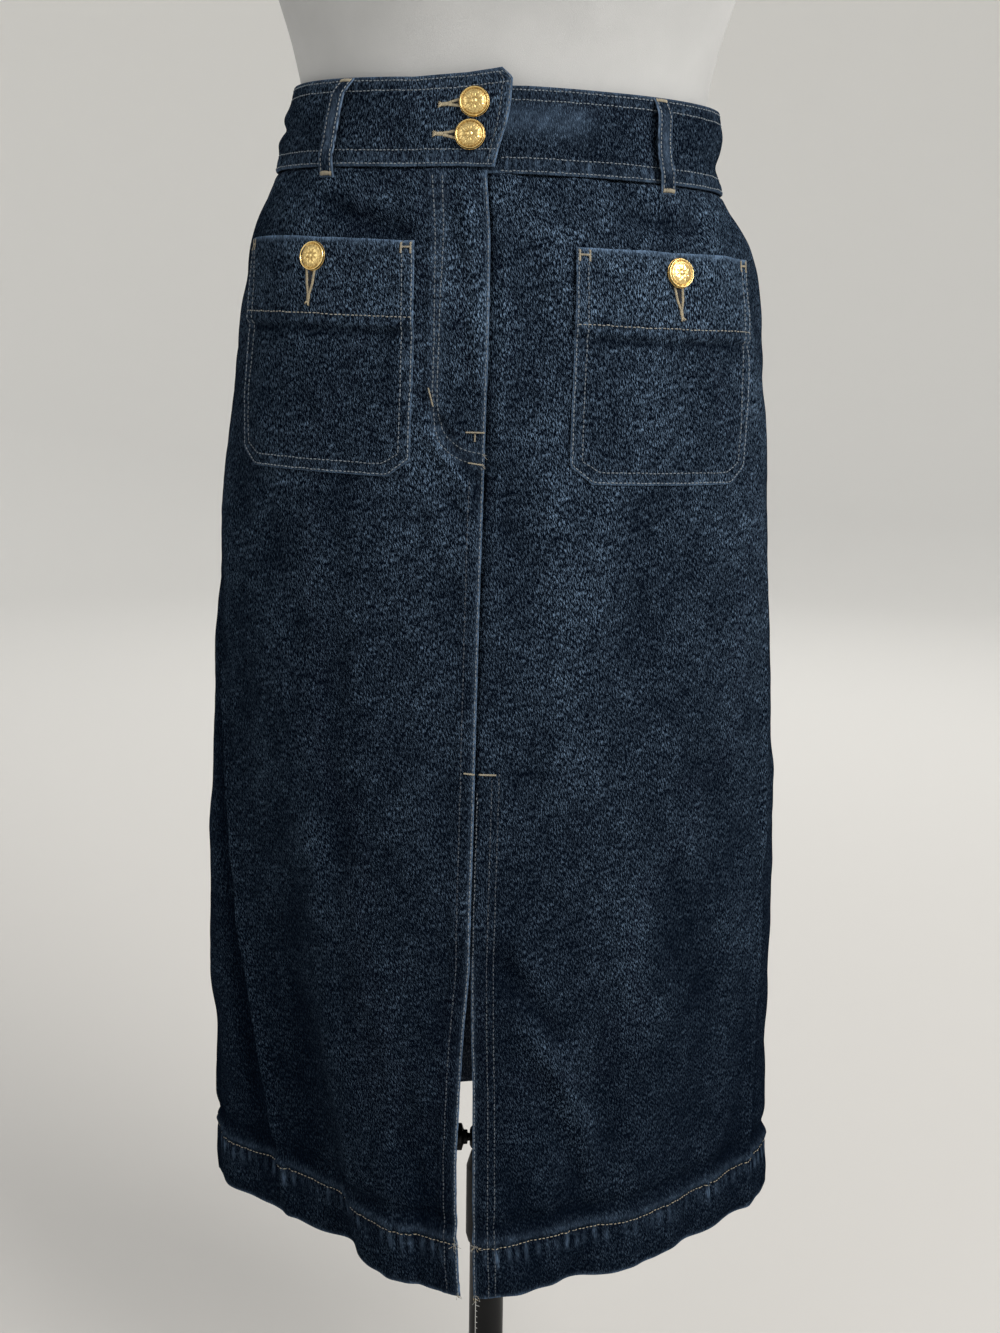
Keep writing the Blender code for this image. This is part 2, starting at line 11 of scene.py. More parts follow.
import bmesh
import bpy
import numpy as np
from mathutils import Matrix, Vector


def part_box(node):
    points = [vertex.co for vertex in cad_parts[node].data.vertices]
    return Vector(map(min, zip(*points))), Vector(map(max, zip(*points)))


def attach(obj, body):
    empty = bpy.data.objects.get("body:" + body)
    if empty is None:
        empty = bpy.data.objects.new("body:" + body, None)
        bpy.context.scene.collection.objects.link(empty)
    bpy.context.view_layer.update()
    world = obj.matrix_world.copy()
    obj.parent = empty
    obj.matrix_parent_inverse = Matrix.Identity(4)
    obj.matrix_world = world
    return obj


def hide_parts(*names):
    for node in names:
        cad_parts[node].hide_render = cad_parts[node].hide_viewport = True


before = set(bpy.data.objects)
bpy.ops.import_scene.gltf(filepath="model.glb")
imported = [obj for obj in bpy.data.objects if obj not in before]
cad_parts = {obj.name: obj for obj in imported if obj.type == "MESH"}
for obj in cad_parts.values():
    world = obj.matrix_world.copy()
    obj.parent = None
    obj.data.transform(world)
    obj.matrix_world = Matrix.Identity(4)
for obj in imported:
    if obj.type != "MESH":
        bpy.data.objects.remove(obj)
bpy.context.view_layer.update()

# Heights of the garment, measured up from the hem.
HEM_LEVEL = 0.280  # the hem above the floor
WAIST_SEAM = 0.745
LEAN = 0.034  # the waist sits this much lower for each metre towards +X

# The ring of cloth at each height.
SECTIONS = np.array(
    # height, half width, sideways, front depth, back depth, front squareness, back
    [
        (0.000, 0.2160, 0.0010, 0.161, 0.160, 1.42, 1.80),
        (0.110, 0.2130, -0.0005, 0.158, 0.158, 1.50, 1.85),
        (0.230, 0.2125, -0.0020, 0.153, 0.156, 1.65, 1.90),
        (0.420, 0.2020, -0.0015, 0.143, 0.150, 1.95, 2.05),
        (0.565, 0.1890, 0.0005, 0.131, 0.143, 2.15, 2.15),
        (0.669, 0.1780, 0.0020, 0.121, 0.130, 2.15, 2.15),
        (0.709, 0.1700, 0.0015, 0.115, 0.121, 2.15, 2.15),
        (0.745, 0.1520, -0.0010, 0.108, 0.110, 2.10, 2.10),
        (0.800, 0.1430, 0.0035, 0.100, 0.100, 2.05, 2.05),
    ]
)

# Folds that hang down to the hem: each is deepest there and runs out at its top.
FOLDS = np.array(
    # degrees from the front at the hem, the same at its top, top, half width in degrees, depth
    [
        (-47.0, -76.0, 0.50, 13.0, -0.020),
        (-70.0, -80.0, 0.45, 16.0, -0.010),
        (24.0, 30.0, 0.36, 11.0, -0.005),
        (62.0, 68.0, 0.52, 10.0, -0.005),
        (138.0, 146.0, 0.44, 12.0, -0.010),
        (176.0, 172.0, 0.40, 10.0, 0.007),
        (214.0, 205.0, 0.46, 12.0, -0.009),
    ]
)

# Soft creases, each a trough (-) or ridge (+) along a bowed line. The lean lifts one side of
# the line and lowers the other.
CREASES = np.array(
    # from along, from height, to along, to height, bow, half width, depth, lean
    [
        # wearer's right front: the edge where the cloth turns to the side, and its shadow
        (-0.264, 0.655, -0.168, -0.080, 0.012, 0.0060, 0.0040, 0.0038),
        (-0.258, 0.610, -0.187, -0.060, 0.011, 0.0105, -0.0078, 0.0000),
        (-0.146, 0.420, -0.120, -0.070, -0.010, 0.0200, 0.0036, 0.0012),
        (-0.090, 0.520, -0.098, 0.180, 0.006, 0.0180, -0.0012, 0.0006),
        (-0.060, 0.250, -0.070, -0.080, 0.004, 0.0120, 0.0018, -0.0012),
        (-0.046, 0.110, -0.050, -0.060, 0.000, 0.0070, -0.0020, 0.0012),
        # drag lines out of the fly's lower end
        (-0.058, 0.618, -0.014, 0.550, -0.003, 0.0046, -0.0036, 0.0014),
        (-0.056, 0.592, -0.012, 0.535, -0.004, 0.0044, 0.0032, 0.0012),
        (-0.046, 0.562, -0.011, 0.518, -0.002, 0.0042, -0.0020, 0.0008),
        (-0.014, 0.565, -0.013, 0.532, 0.000, 0.0046, -0.0036, 0.0000),
        # the zip under the fly
        (-0.027, 0.760, -0.012, 0.575, -0.002, 0.0062, 0.0034, 0.0018),
        # under the waistband, both sides
        (-0.130, 0.732, -0.040, 0.706, 0.006, 0.0080, -0.0040, 0.0014),
        (-0.160, 0.735, -0.132, 0.700, 0.000, 0.0090, 0.0014, 0.0000),
        (0.068, 0.728, 0.150, 0.722, 0.004, 0.0075, -0.0038, 0.0014),
        (0.020, 0.735, 0.052, 0.640, 0.003, 0.0120, 0.0010, 0.0006),
        # wearer's left front: beside the seam and the slit
        (0.001, 0.740, -0.003, 0.420, 0.000, 0.0036, 0.0014, 0.0010),
        (0.003, 0.262, 0.064, 0.172, 0.006, 0.0130, -0.0062, 0.0030),
        (0.002, 0.235, 0.086, 0.040, -0.010, 0.0110, 0.0058, 0.0038),
        (0.014, 0.120, 0.052, -0.060, 0.000, 0.0120, -0.0026, 0.0010),
        (0.030, 0.520, 0.052, 0.330, 0.006, 0.0200, 0.0012, 0.0006),
        (0.118, 0.360, 0.132, -0.070, 0.008, 0.0200, 0.0026, -0.0012),
        (0.168, 0.540, 0.170, 0.060, -0.006, 0.0200, -0.0014, 0.0010),
        (0.216, 0.575, 0.236, -0.070, -0.010, 0.0055, 0.0024, -0.0024),
        (0.244, 0.330, 0.256, -0.060, 0.004, 0.0080, -0.0026, 0.0010),
        # from below the pockets
        (-0.178, 0.545, -0.150, 0.410, 0.004, 0.0130, 0.0012, 0.0008),
        (0.092, 0.545, 0.100, 0.440, 0.002, 0.0150, -0.0010, 0.0006),
        # the back
        (0.345, 0.500, 0.360, -0.060, 0.010, 0.0180, 0.0036, 0.0014),
        (0.400, 0.380, 0.405, -0.080, -0.008, 0.0150, -0.0032, 0.0010),
        (0.455, 0.540, 0.470, 0.060, 0.010, 0.0220, 0.0022, -0.0010),
        (0.520, 0.350, 0.512, -0.080, 0.006, 0.0150, -0.0030, 0.0014),
        (0.600, 0.470, 0.604, -0.070, -0.010, 0.0200, 0.0030, 0.0010),
        (0.668, 0.330, 0.662, -0.070, 0.006, 0.0140, -0.0030, -0.0012),
        (0.742, 0.520, 0.735, -0.060, -0.010, 0.0180, 0.0032, 0.0012),
        (0.380, 0.715, 0.470, 0.700, 0.006, 0.0090, -0.0018, 0.0008),
        (0.540, 0.702, 0.640, 0.716, -0.006, 0.0090, -0.0018, 0.0008),
        (0.330, 0.640, 0.430, 0.600, 0.008, 0.0140, -0.0014, 0.0010),
        (0.640, 0.610, 0.740, 0.645, -0.008, 0.0140, -0.0014, 0.0010),
    ]
)

# The cloth.
SINGLE = 0.0012
DOUBLE = 0.0024
LAYER_GAP = 0.0004
HEM_STITCH = 0.038  # the hem's row of stitches above the hem
HEM_RISE = 0.009  # the hem hangs this much higher at the wearer's right side
HEM_TURN = 0.0375  # the turned hem's depth
FACING = 0.014  # how far the slit's facing reaches in from the edge
FLY_FACING = 0.040
FRONT_EDGE = np.array(
    # height, right front's edge, left front's edge
    [
        (0.000, -0.0184, -0.0092),
        (0.045, -0.0214, -0.0102),
        (0.095, -0.0210, -0.0098),
        (0.150, -0.0184, -0.0098),
        (0.190, -0.0155, -0.0105),
        (0.235, -0.0113, -0.0107),
        (0.350, -0.0094, -0.0089),
        (0.745, -0.0072, -0.0067),
    ]
)
FLY_END = 0.566
SLIT_TOP = 0.368
EDGE_RISE = 0.0010
UNDERLAP = np.array(
    # height, how far the underlap reaches past the edge
    [
        (0.235, 0.0),
        (0.300, 0.0020),
        (SLIT_TOP, 0.0060),
        (FLY_END - 0.006, 0.0060),
        (FLY_END + 0.006, 0.0340),
        (WAIST_SEAM, 0.0340),
    ]
)
UNDERLAP_DROP = 0.0030
FLY_ROWS = (
    # the two rows of the fly's J: places down from the waist seam and round to the edge
    [
        (-0.0350, 0.7410),
        (-0.0389, 0.6445),
        (-0.0389, 0.5980),
        (-0.0345, 0.5830),
        (-0.0237, 0.5745),
        (-0.0078, 0.5715),
    ],
    [
        (-0.0414, 0.7410),
        (-0.0421, 0.5978),
        (-0.0385, 0.5800),
        (-0.0299, 0.5705),
        (-0.0190, 0.5662),
        (-0.0078, 0.5647),
    ],
)
DARTS = (-0.1187, 0.1098, 0.470, 0.635)  # along; the front two are short tucks under the band

# The patch pockets.
POCKET_WIDTH = 0.134
POCKET_TOP = WAIST_SEAM - 0.0445
POCKET_LINE = WAIST_SEAM - 0.0915  # the stitching of the pocket's hem
POCKET_CORNER = FLY_END
POCKET_BOTTOM = WAIST_SEAM - 0.190
CORNER_CUT = 0.015
POCKETS = {"pocket_right": -0.1885, "pocket_left": 0.0455}  # the edge towards -X

# The waistband: one strip from the tab's end, round the back, to the underlap.
BAND_WIDTH = 0.055
BAND_LENGTH = 0.830
BAND_REACH = 0.128  # metres along the band for each radian of turn
BAND_FIRST = math.radians(2.2)
BAND_LAST = math.radians(-371.5)
BAND_EDGES = np.array(
    # degrees from the front, lower edge, upper edge, how far it is moved out
    [
        (2.2, 0.7468, 0.8085, 0.0014),
        (-14.0, 0.7464, 0.8030, 0.0014),
        (-32.0, 0.7454, 0.8000, 0.0000),
        (-180.0, 0.7450, 0.8000, 0.0000),
        (-325.0, 0.7444, 0.7970, 0.0000),
        (-352.0, 0.7440, 0.7970, 0.0000),
        (-361.0, 0.7438, 0.7970, -0.0020),
        (-371.5, 0.7438, 0.7970, -0.0020),
    ]
)[::-1]
TAB_END = np.array(
    # share up the band, how far the tab's end reaches along
    [(0.0, -0.0016), (0.16, 0.0000), (0.42, 0.0036), (0.60, 0.0046), (0.88, 0.0042), (1.0, -0.0030)]
)
TAB_LEVEL = 0.7466  # the tab's lower edge above the hem
BAND_PUFF = 0.0006  # the band stands this far over the panels
BAND_ROWS = {"low": (0.0016, 0.0098), "high": (0.0026, 0.0088)}  # stitch rows in from each edge

# The belt loops.
LOOP_WIDTH = 0.0105
LOOP_LENGTH = 0.063
LOOP_WALL = 0.0016
LOOP_CLEAR = 0.0046  # the most that a loop stands off the waistband
LOOP_BELOW = 0.0075
LOOP_ANGLES = {
    "belt_loop_front_right": -54.0,
    "belt_loop_front_left": 52.3,
    "belt_loop_back_right": -132.0,
    "belt_loop_back_left": 132.0,
    "belt_loop_back_centre": 180.0,
}

# The buttons: place along the cloth, height, and how far out the cloth under each lies.
BUTTON_RADIUS = 0.0094
BUTTONS = {
    "button_waist_upper": (-0.0185, 0.7850, 0.0014),
    "button_waist_lower": (-0.0188, 0.7653, 0.0014),
    "button_pocket_right": (-0.1225, 0.6885, 0.0028),
    "button_pocket_left": (0.1140, 0.6880, 0.0028),
}
BUTTONHOLES = {
    # the end under the button, the far end
    "buttonhole_waist_upper": ((-0.0230, 0.7842), (-0.0478, 0.7830)),
    "buttonhole_waist_lower": ((-0.0230, 0.7645), (-0.0482, 0.7655)),
    "buttonhole_pocket_right": ((-0.1236, 0.6810), (-0.1258, 0.6600)),
    "buttonhole_pocket_left": ((0.1136, 0.6800), (0.1166, 0.6605)),
}

# The dress form.
TORSO = np.array(
    # height above the hem, half width, front depth, back depth, squareness
    [
        (0.430, 0.118, 0.082, 0.090, 2.0),
        (0.437, 0.134, 0.094, 0.102, 2.0),
        (0.460, 0.153, 0.106, 0.116, 2.05),
        (0.510, 0.174, 0.117, 0.130, 2.1),
        (0.565, 0.1815, 0.122, 0.135, 2.1),
        (0.620, 0.1765, 0.117, 0.128, 2.1),
        (0.669, 0.1700, 0.112, 0.122, 2.1),
        (0.709, 0.1575, 0.104, 0.111, 2.1),
        (0.742, 0.1420, 0.0975, 0.102, 2.1),
        (0.800, 0.1365, 0.0920, 0.094, 2.05),
        (0.828, 0.1420, 0.096, 0.096, 2.05),
        (0.880, 0.1570, 0.112, 0.100, 2.1),
        (0.945, 0.1660, 0.132, 0.104, 2.1),
        (1.000, 0.1690, 0.142, 0.107, 2.1),
        (1.060, 0.1650, 0.126, 0.108, 2.2),
        (1.120, 0.1680, 0.100, 0.104, 2.3),
        (1.165, 0.1740, 0.084, 0.094, 2.3),
        (1.188, 0.1600, 0.074, 0.084, 2.2),
        (1.208, 0.1200, 0.066, 0.074, 2.1),
        (1.228, 0.0820, 0.059, 0.066, 2.0),
        (1.250, 0.0600, 0.055, 0.060, 2.0),
        (1.285, 0.0550, 0.053, 0.057, 2.0),
        (1.310, 0.0550, 0.053, 0.057, 2.0),
    ]
)
TORSO_SIDEWAYS = 0.002

# The stand.
POLE_RADIUS = 0.0105
COLUMN_RADIUS = 0.0135
COLUMN_BORE = 0.0112
COLLAR_RADIUS = 0.01675
CLAMP_RADIUS = 0.0145
CLAMP_NECK = 0.0120
KNOB_RADIUS = 0.0105
KNOB_LEVEL = HEM_LEVEL + 0.034

THREAD = 0.00036  # the topstitching thread's radius
STITCH = 0.0029  # from one topstitch to the next


# ---------------------------------------------------------------- the cloth's surface


def smooth_step(t):
    """0 below 0, 1 above 1, and a cubic ease between."""
    t = np.clip(t, 0.0, 1.0)
    return t * t * (3 - 2 * t)


def bell(value, middle, width):
    """1 at the middle, falling away on both sides."""
    return np.exp(-(((value - middle) / width) ** 2))


def smooth_column(table, column, height):
    """The value of one column of a table at any height, along a smooth cubic through its rows."""
    knots = table[:, 0]
    values = table[:, column]
    slopes = np.gradient(values, knots)
    row = np.clip(np.searchsorted(knots, height, side="right") - 1, 0, len(knots) - 2)
    gap = knots[row + 1] - knots[row]
    t = (height - knots[row]) / gap
    start = (1 + 2 * t) * (1 - t) ** 2 * values[row] + t * (1 - t) ** 2 * gap * slopes[row]
    end = t * t * (3 - 2 * t) * values[row + 1] + t * t * (t - 1) * gap * slopes[row + 1]
    return start + end


def oval_radius(angle, half_width, front, back, front_square, back_square):
    """Middle to rim of a rounded, squared-off oval, whose front and back depths differ."""
    faces_front = np.cos(angle) > 0
    depth = np.where(faces_front, front, back)
    square = np.where(faces_front, front_square, back_square)
    across = (np.abs(np.sin(angle)) / half_width) ** square
    along = (np.abs(np.cos(angle)) / depth) ** square
    return (across + along) ** (-1 / square)


def ring_radius(angle, height):
    """Middle to cloth at each height, before the folds."""
    return oval_radius(angle, *(smooth_column(SECTIONS, c, height) for c in (1, 3, 4, 5, 6)))


def fold_depth(angle, height):
    """How far the hanging folds move the cloth in or out at each place."""
    total = np.zeros(np.broadcast(angle, height).shape)
    for at_hem, at_top, top, width, depth in FOLDS:
        strength = np.clip(1 - height / top, 0, 1)
        middle = np.radians(at_top + (at_hem - at_top) * strength)
        away = (angle - middle + math.pi) % (2 * math.pi) - math.pi
        total = total + depth * strength**0.8 * bell(away, 0, math.radians(width))
    return total


def body_surface(angle, height):
    """Points of the smooth cloth, by angle from the front and height above the hem."""
    radius = ring_radius(angle, height) + fold_depth(angle, height)
    x = smooth_column(SECTIONS, 2, height) + radius * np.sin(angle)
    y = -radius * np.cos(angle)
    lifted = HEM_RISE * bell(np.degrees(angle), -72, 22) * np.clip(1 - height / 0.30, 0, 1)
    return np.stack([x, y, HEM_LEVEL + height + lifted - LEAN * x * height / WAIST_SEAM], axis=-1)


def unit(vectors):
    """Vectors scaled to a length of 1."""
    return vectors / np.maximum(np.linalg.norm(vectors, axis=-1, keepdims=True), 1e-12)


def outward(angle, height):
    """The unit normal of body_surface, from its slopes both ways."""
    small = 1e-4
    across = body_surface(angle + small, height) - body_surface(angle - small, height)
    along = body_surface(angle, height + small) - body_surface(angle, height - small)
    return unit(np.cross(across, along))


def cloth(angle, height, out):
    """Points of the smooth cloth moved out along its normal."""
    angle, height, out = np.broadcast_arrays(angle, height, out)
    return body_surface(angle, height) + outward(angle, height) * out[..., None]


# Distance along the cloth by height and angle, and the angle by height and distance.
LEVELS = np.linspace(-0.020, 0.840, 173)
TURNS = np.radians(np.arange(-384.0, 384.5, 0.5))
RUNS = np.arange(-1.250, 1.2505, 0.001)


def measure_round():
    """Adds up short steps round each level's ring, starting at the centre front."""
    radius = ring_radius(TURNS[None, :], LEVELS[:, None])
    steps = np.hypot(np.diff(radius * np.sin(TURNS)), np.diff(radius * np.cos(TURNS)))
    lengths = np.pad(np.cumsum(steps, axis=1), ((0, 0), (1, 0)))
    lengths -= lengths[:, len(TURNS) // 2, None]
    angles = np.array([np.interp(RUNS, row, TURNS) for row in lengths])
    return lengths, angles


ALONG_TABLE, ANGLE_TABLE = measure_round()


def look_up(table, height, place, places):
    """A table's value between its cells, as a blend of the four nearest."""
    height, place = np.broadcast_arrays(np.asarray(height, float), np.asarray(place, float))
    row = (height - LEVELS[0]) / (LEVELS[1] - LEVELS[0])
    column = (place - places[0]) / (places[1] - places[0])
    row = np.clip(row, 0, len(LEVELS) - 1.001)
    column = np.clip(column, 0, len(places) - 1.001)
    r, c = row.astype(int), column.astype(int)
    s, t = row - r, column - c
    low = table[r, c] * (1 - t) + table[r, c + 1] * t
    high = table[r + 1, c] * (1 - t) + table[r + 1, c + 1] * t
    return low * (1 - s) + high * s


def angle_of(along, height):
    """The angle from the front of a place on the cloth, in radians."""
    return look_up(ANGLE_TABLE, height, along, RUNS)


def along_of(angle, height):
    """The place along the cloth of an angle from the front."""
    return look_up(ALONG_TABLE, height, angle, TURNS)


# ---------------------------------------------------------------- creases, seams and puckers


def make_swells(seed, count, fewest, most):
    """Plane waves round and up the cloth, each with a whole number of waves round it."""
    random = np.random.default_rng(seed)
    around = np.round(np.geomspace(fewest, most, count)) * random.choice([-1, 1], count)
    up = np.abs(around) * random.uniform(-2.6, 2.6, count)
    phase = random.uniform(0, 2 * math.pi, count)
    return np.stack([around, up, phase, 0.0042 / np.abs(around)], axis=1)


SWELLS = make_swells(seed=7, count=24, fewest=7, most=64)


def unevenness(angle, height):
    """The cloth's slight unevenness: the sum of the seeded waves, broad ones the deepest."""
    total = np.zeros(np.broadcast(angle, height).shape)
    for around, up, phase, size in SWELLS:
        total = total + size * np.sin(around * angle + up * height * 2 + phase)
    return total


def crease(along, height, row):
    """A bowed line's bell-shaped trough or ridge, eased out at both ends, with a lean across it."""
    from_along, from_height, to_along, to_height, bow, width, depth, lean = row
    right, up = to_along - from_along, to_height - from_height
    length = math.hypot(right, up)
    share = ((along - from_along) * right + (height - from_height) * up) / length**2
    side = ((along - from_along) * up - (height - from_height) * right) / length
    side = (side - bow * (1 - (2 * np.clip(share, 0, 1) - 1) ** 2)) / width
    strength = smooth_step(share / 0.28) * smooth_step((1 - share) / 0.28)
    return strength * np.exp(-side * side) * (depth - lean * side * 1.6)


def wobble(run, wavelength):
    """An uneven wave along a seam: three lengths of wave added, swelling and fading."""
    turn = 2 * math.pi * run / wavelength
    waves = 0.55 * np.sin(turn) + 0.35 * np.sin(0.71 * turn + 2.1)
    waves = waves + 0.30 * np.sin(1.37 * turn + 4.0)
    return waves * (0.75 + 0.35 * np.sin(0.123 * turn + 1.0))


def nearest(along, height, path):
    """Distance to a path of straight stretches, and how far along it the nearest place is."""
    path = np.asarray(path, float)
    best = np.full(np.broadcast(along, height).shape, np.inf)
    run = np.zeros(best.shape)
    before = 0.0
    for start, end in zip(path[:-1], path[1:]):
        step = end - start
        length = max(math.hypot(*step), 1e-9)
        share = ((along - start[0]) * step[0] + (height - start[1]) * step[1]) / length**2
        share = np.clip(share, 0, 1)
        distance = np.hypot(along - start[0] - share * step[0], height - start[1] - share * step[1])
        run = np.where(distance < best, before + share * length, run)
        best = np.minimum(best, distance)
        before += length
    return best, run


def sewn(along, height, path, width=0.0020, depth=0.0004, pucker=0.00035, wavelength=0.0085):
    """A row of stitches pulls the cloth in along its path and puckers it on both sides."""
    distance, run = nearest(along, height, path)
    groove = -depth * bell(distance, 0, width)
    return groove + pucker * wobble(run, wavelength) * bell(distance, 0, 3 * width)


def front_edge(column, height):
    """Where a front's edge lies along the cloth: column 1 is the right front's, 2 the left's."""
    return np.interp(height, FRONT_EDGE[:, 0], FRONT_EDGE[:, column])


def edge_path(column, inset, low, high, count=24):
    """A path beside a front's edge, moved in from it, from one height to another."""
    height = np.linspace(low, high, count)
    return np.stack([front_edge(column, height) + inset, height], axis=1)


def rounded_path(corners, count=9, cut=0.35):
    """A path through corners, each of them turned into a short curve."""
    corners = np.asarray(corners, float)
    points = [corners[:1]]
    t = np.linspace(0, 1, count)[:, None]
    for before, corner, after in zip(corners[:-2], corners[1:-1], corners[2:]):
        start, end = corner + (before - corner) * cut, corner + (after - corner) * cut
        points.append((1 - t) ** 2 * start + 2 * t * (1 - t) * corner + t * t * end)
    return np.concatenate([*points, corners[-1:]])


FLY_PATHS = [rounded_path(row) for row in FLY_ROWS]
SEAM_ROWS = [
    # the right front's edge row and its facing's, then the left facing's two
    edge_path(1, -0.0012, 0.001, WAIST_SEAM - 0.004, 60),
    edge_path(1, -0.0092, 0.001, 0.555, 48),
    edge_path(2, 0.0106, 0.001, SLIT_TOP - 0.003, 30),
    edge_path(2, 0.0152, 0.001, SLIT_TOP + 0.004, 30),
]
EDGE_ROW_LEFT = edge_path(2, 0.0014, 0.001, SLIT_TOP - 0.012, 30)


def roping(along):
    """How strongly the hem's slanting ridges stand, which comes and goes along it."""
    return 0.40 + 0.75 * np.sin(along / 0.031 + 1.3 * np.sin(along / 0.0113)) ** 2


def hem_shape(along, height):
    """The turned hem: it puffs out, roping ridges slant across it, and its stitches sink in."""
    below = HEM_STITCH - height
    reach = 0.0105 + 0.0050 * np.sin(along / 0.0135) + 0.0030 * np.sin(along / 0.0058 + 1.0)
    ridges = np.where(below > 0, np.exp(-np.abs(below / reach) ** 2.4), bell(below, 0, 0.006))
    rope = 0.00125 * roping(along) * wobble(along + 0.10 * height, 0.0076) * ridges
    puff = 0.0010 * bell(height, 0.017, 0.012)
    roll = 0.0014 * bell(below, -0.0045, 0.0034)
    hollow = -0.0026 * bell(below, -0.0150, 0.0070)
    groove = -0.0007 * bell(below, 0, 0.0020)
    return rope + puff + roll + hollow + groove


def hem_flutter(along, height):
    """Slow waves of the free lower edge, fading out upwards."""
    long_wave = 0.0016 * np.sin(2 * math.pi * along / 0.083 + 0.6)
    short_wave = 0.0012 * np.sin(2 * math.pi * along / 0.049 + 2.0)
    beside_slit = smooth_step((np.abs(along) - 0.03) / 0.03)
    return (long_wave + short_wave) * beside_slit * bell(height, 0, 0.085)


def skirt_relief(angle, along, height):
    """Everything that moves the skirt's own panels in or out from the smooth surface."""
    total = unevenness(angle, height)
    for row in CREASES:
        total = total + crease(along, height, row)
    total = total + hem_shape(along, height) + hem_flutter(along, height)
    for path in [*FLY_PATHS, *SEAM_ROWS]:
        total = total + sewn(along, height, path)
    for place in DARTS:
        low = 0.700 if abs(place) < 0.2 else 0.640
        path = [(place, low), (place, WAIST_SEAM)]
        total = total + sewn(along, height, path, width=0.0018, depth=0.0012)
    return total


def drape(along, height, out=0.0):
    """Points of the draped cloth, moved out by a layer's height over it."""
    angle = angle_of(along, height)
    return cloth(angle, height, out + skirt_relief(angle, along, height))


# ---------------------------------------------------------------- meshes


def link(name, mesh):
    """An object for a mesh, in the scene."""
    thing = bpy.data.objects.new(name, mesh)
    bpy.context.scene.collection.objects.link(thing)
    return thing


def new_mesh(name, points, quads, material, attributes=(), uv=None):
    """A smooth-shaded mesh of quads, with point attributes and a UV map from arrays."""
    mesh = bpy.data.meshes.new(name)
    points = np.asarray(points, np.float32).reshape(-1, 3)
    quads = np.asarray(quads, np.int32).reshape(-1, 4)
    mesh.vertices.add(len(points))
    mesh.vertices.foreach_set("co", points.ravel())
    mesh.loops.add(quads.size)
    mesh.loops.foreach_set("vertex_index", quads.ravel())
    mesh.polygons.add(len(quads))
    mesh.polygons.foreach_set("loop_start", np.arange(0, quads.size, 4, dtype=np.int32))
    mesh.update(calc_edges=True)
    for label, values in dict(attributes).items():
        made = mesh.attributes.new(label, "FLOAT", "POINT")
        made.data.foreach_set("value", np.asarray(values, np.float32).ravel())
    if uv is not None:
        corners = np.asarray(uv, np.float32).reshape(-1, 2)[quads.ravel()]
        mesh.uv_layers.new(name="UVMap").data.foreach_set("uv", corners.ravel())
    mesh.validate()
    mesh.shade_smooth()
    mesh.materials.append(material)
    return link(name, mesh)


def grid_quads(rows, columns, first=0, wrap=False):
    """Quads of a grid whose rows run down and whose columns run towards +X, facing out."""
    index = first + np.arange(rows * columns).reshape(rows, columns)
    if wrap:
        index = np.hstack([index, index[:, :1]])
    corners = [index[:-1, :-1], index[1:, :-1], index[1:, 1:], index[:-1, 1:]]
    return np.stack(corners, axis=-1).reshape(-1, 4)


def washing_and_light(along, height):
    """How pale the cloth is made, 0 to 1: part washed-out dye and part painted light falling from
    above; most over the hips and the seat, least low down.
    """
    # painted light: paler the higher up, as if lit from above
    high = smooth_step((height + 0.05) / 0.80)
    middle = bell(along, 0.06, 0.20) + bell(along, 0.55, 0.24)
    return 0.22 + 0.78 * high * (0.45 + 0.55 * np.clip(middle, 0, 1))


def make_wall(name, outer, inner, place, wear, material, lift=0.0):
    """Closed cloth between two grids of points: rows run down, columns run towards +X. lift is
    how far a place stands out of the smooth cloth: ridges are made paler, as wear and painted
    light, and hollows darker, as painted shade."""
    rows, columns = outer.shape[:2]
    count = rows * columns
    index = np.arange(count).reshape(rows, columns)
    front = grid_quads(rows, columns)
    rim = np.concatenate([index[0], index[1:, -1], index[-1, -2::-1], index[-2:0:-1, 0]])
    following = np.roll(rim, -1)
    edge = np.stack([rim, following, following + count, rim + count], axis=-1)
    quads = np.concatenate([front, front[:, ::-1] + count, edge])
    points = np.concatenate([outer.reshape(-1, 3), inner.reshape(-1, 3)])
    # painted light and shade: the washed-out share is raised on ridges and lowered in hollows
    fade = washing_and_light(place[..., 0], place[..., 1]) * np.clip(1 + lift / 0.0062, 0.45, 1.6)
    attributes = {
        "wear": np.tile(wear.ravel(), 2),
        "fade": np.tile(fade.ravel(), 2),
        "reverse": np.repeat([0.0, 1.0], count),
    }
    uv = np.tile(place.reshape(-1, 2), (2, 1))
    return new_mesh(name, points, quads, material, attributes, uv)


def spaced(length, step, fine=0.0, fine_step=0.0):
    """Places from 0 to length: close at both ends, so that edges can be rounded, and with a finer
    stretch from 0 to fine."""
    edge = np.array([0.0, 0.00012, 0.0004, 0.0010])
    start = np.arange(0.0022, fine, fine_step) if fine else np.array([])
    first = fine if fine else 0.0022
    middle = np.linspace(first, length - 0.0022, max(2, int(round((length - first) / step)) + 1))
    return np.concatenate([edge, start, middle, length - edge[::-1]])


def rounding(distance, wall):
    """How far a wall's faces close in near its edge: a quarter circle of nearly half the wall."""
    r = 0.45 * wall
    d = np.clip(distance, 0, r)
    return r - np.sqrt(np.maximum(2 * r * d - d * d, 0))


def edge_wear(distance, reach=0.0014):
    """Fading along an edge: strongest on it, and gone a few times reach further in."""
    return np.exp(-((np.maximum(distance, 0) / reach) ** 1.3))


# ---------------------------------------------------------------- materials


def add(tree, kind, inputs=(), **settings):
    """A node with its settings; an input is a value, or a socket to link from."""
    node = tree.nodes.new(kind)
    for name, value in settings.items():
        setattr(node, name, value)
    for name, value in dict(inputs).items():
        if isinstance(value, bpy.types.NodeSocket):
            tree.links.new(value, node.inputs[name])
        else:
            node.inputs[name].default_value = value
    return node


def link_all(tree, shader, **sockets):
    """Links a node's outputs to the shader's own sockets."""
    for name, socket in sockets.items():
        tree.links.new(socket, shader.inputs[name.replace("_", " ")])


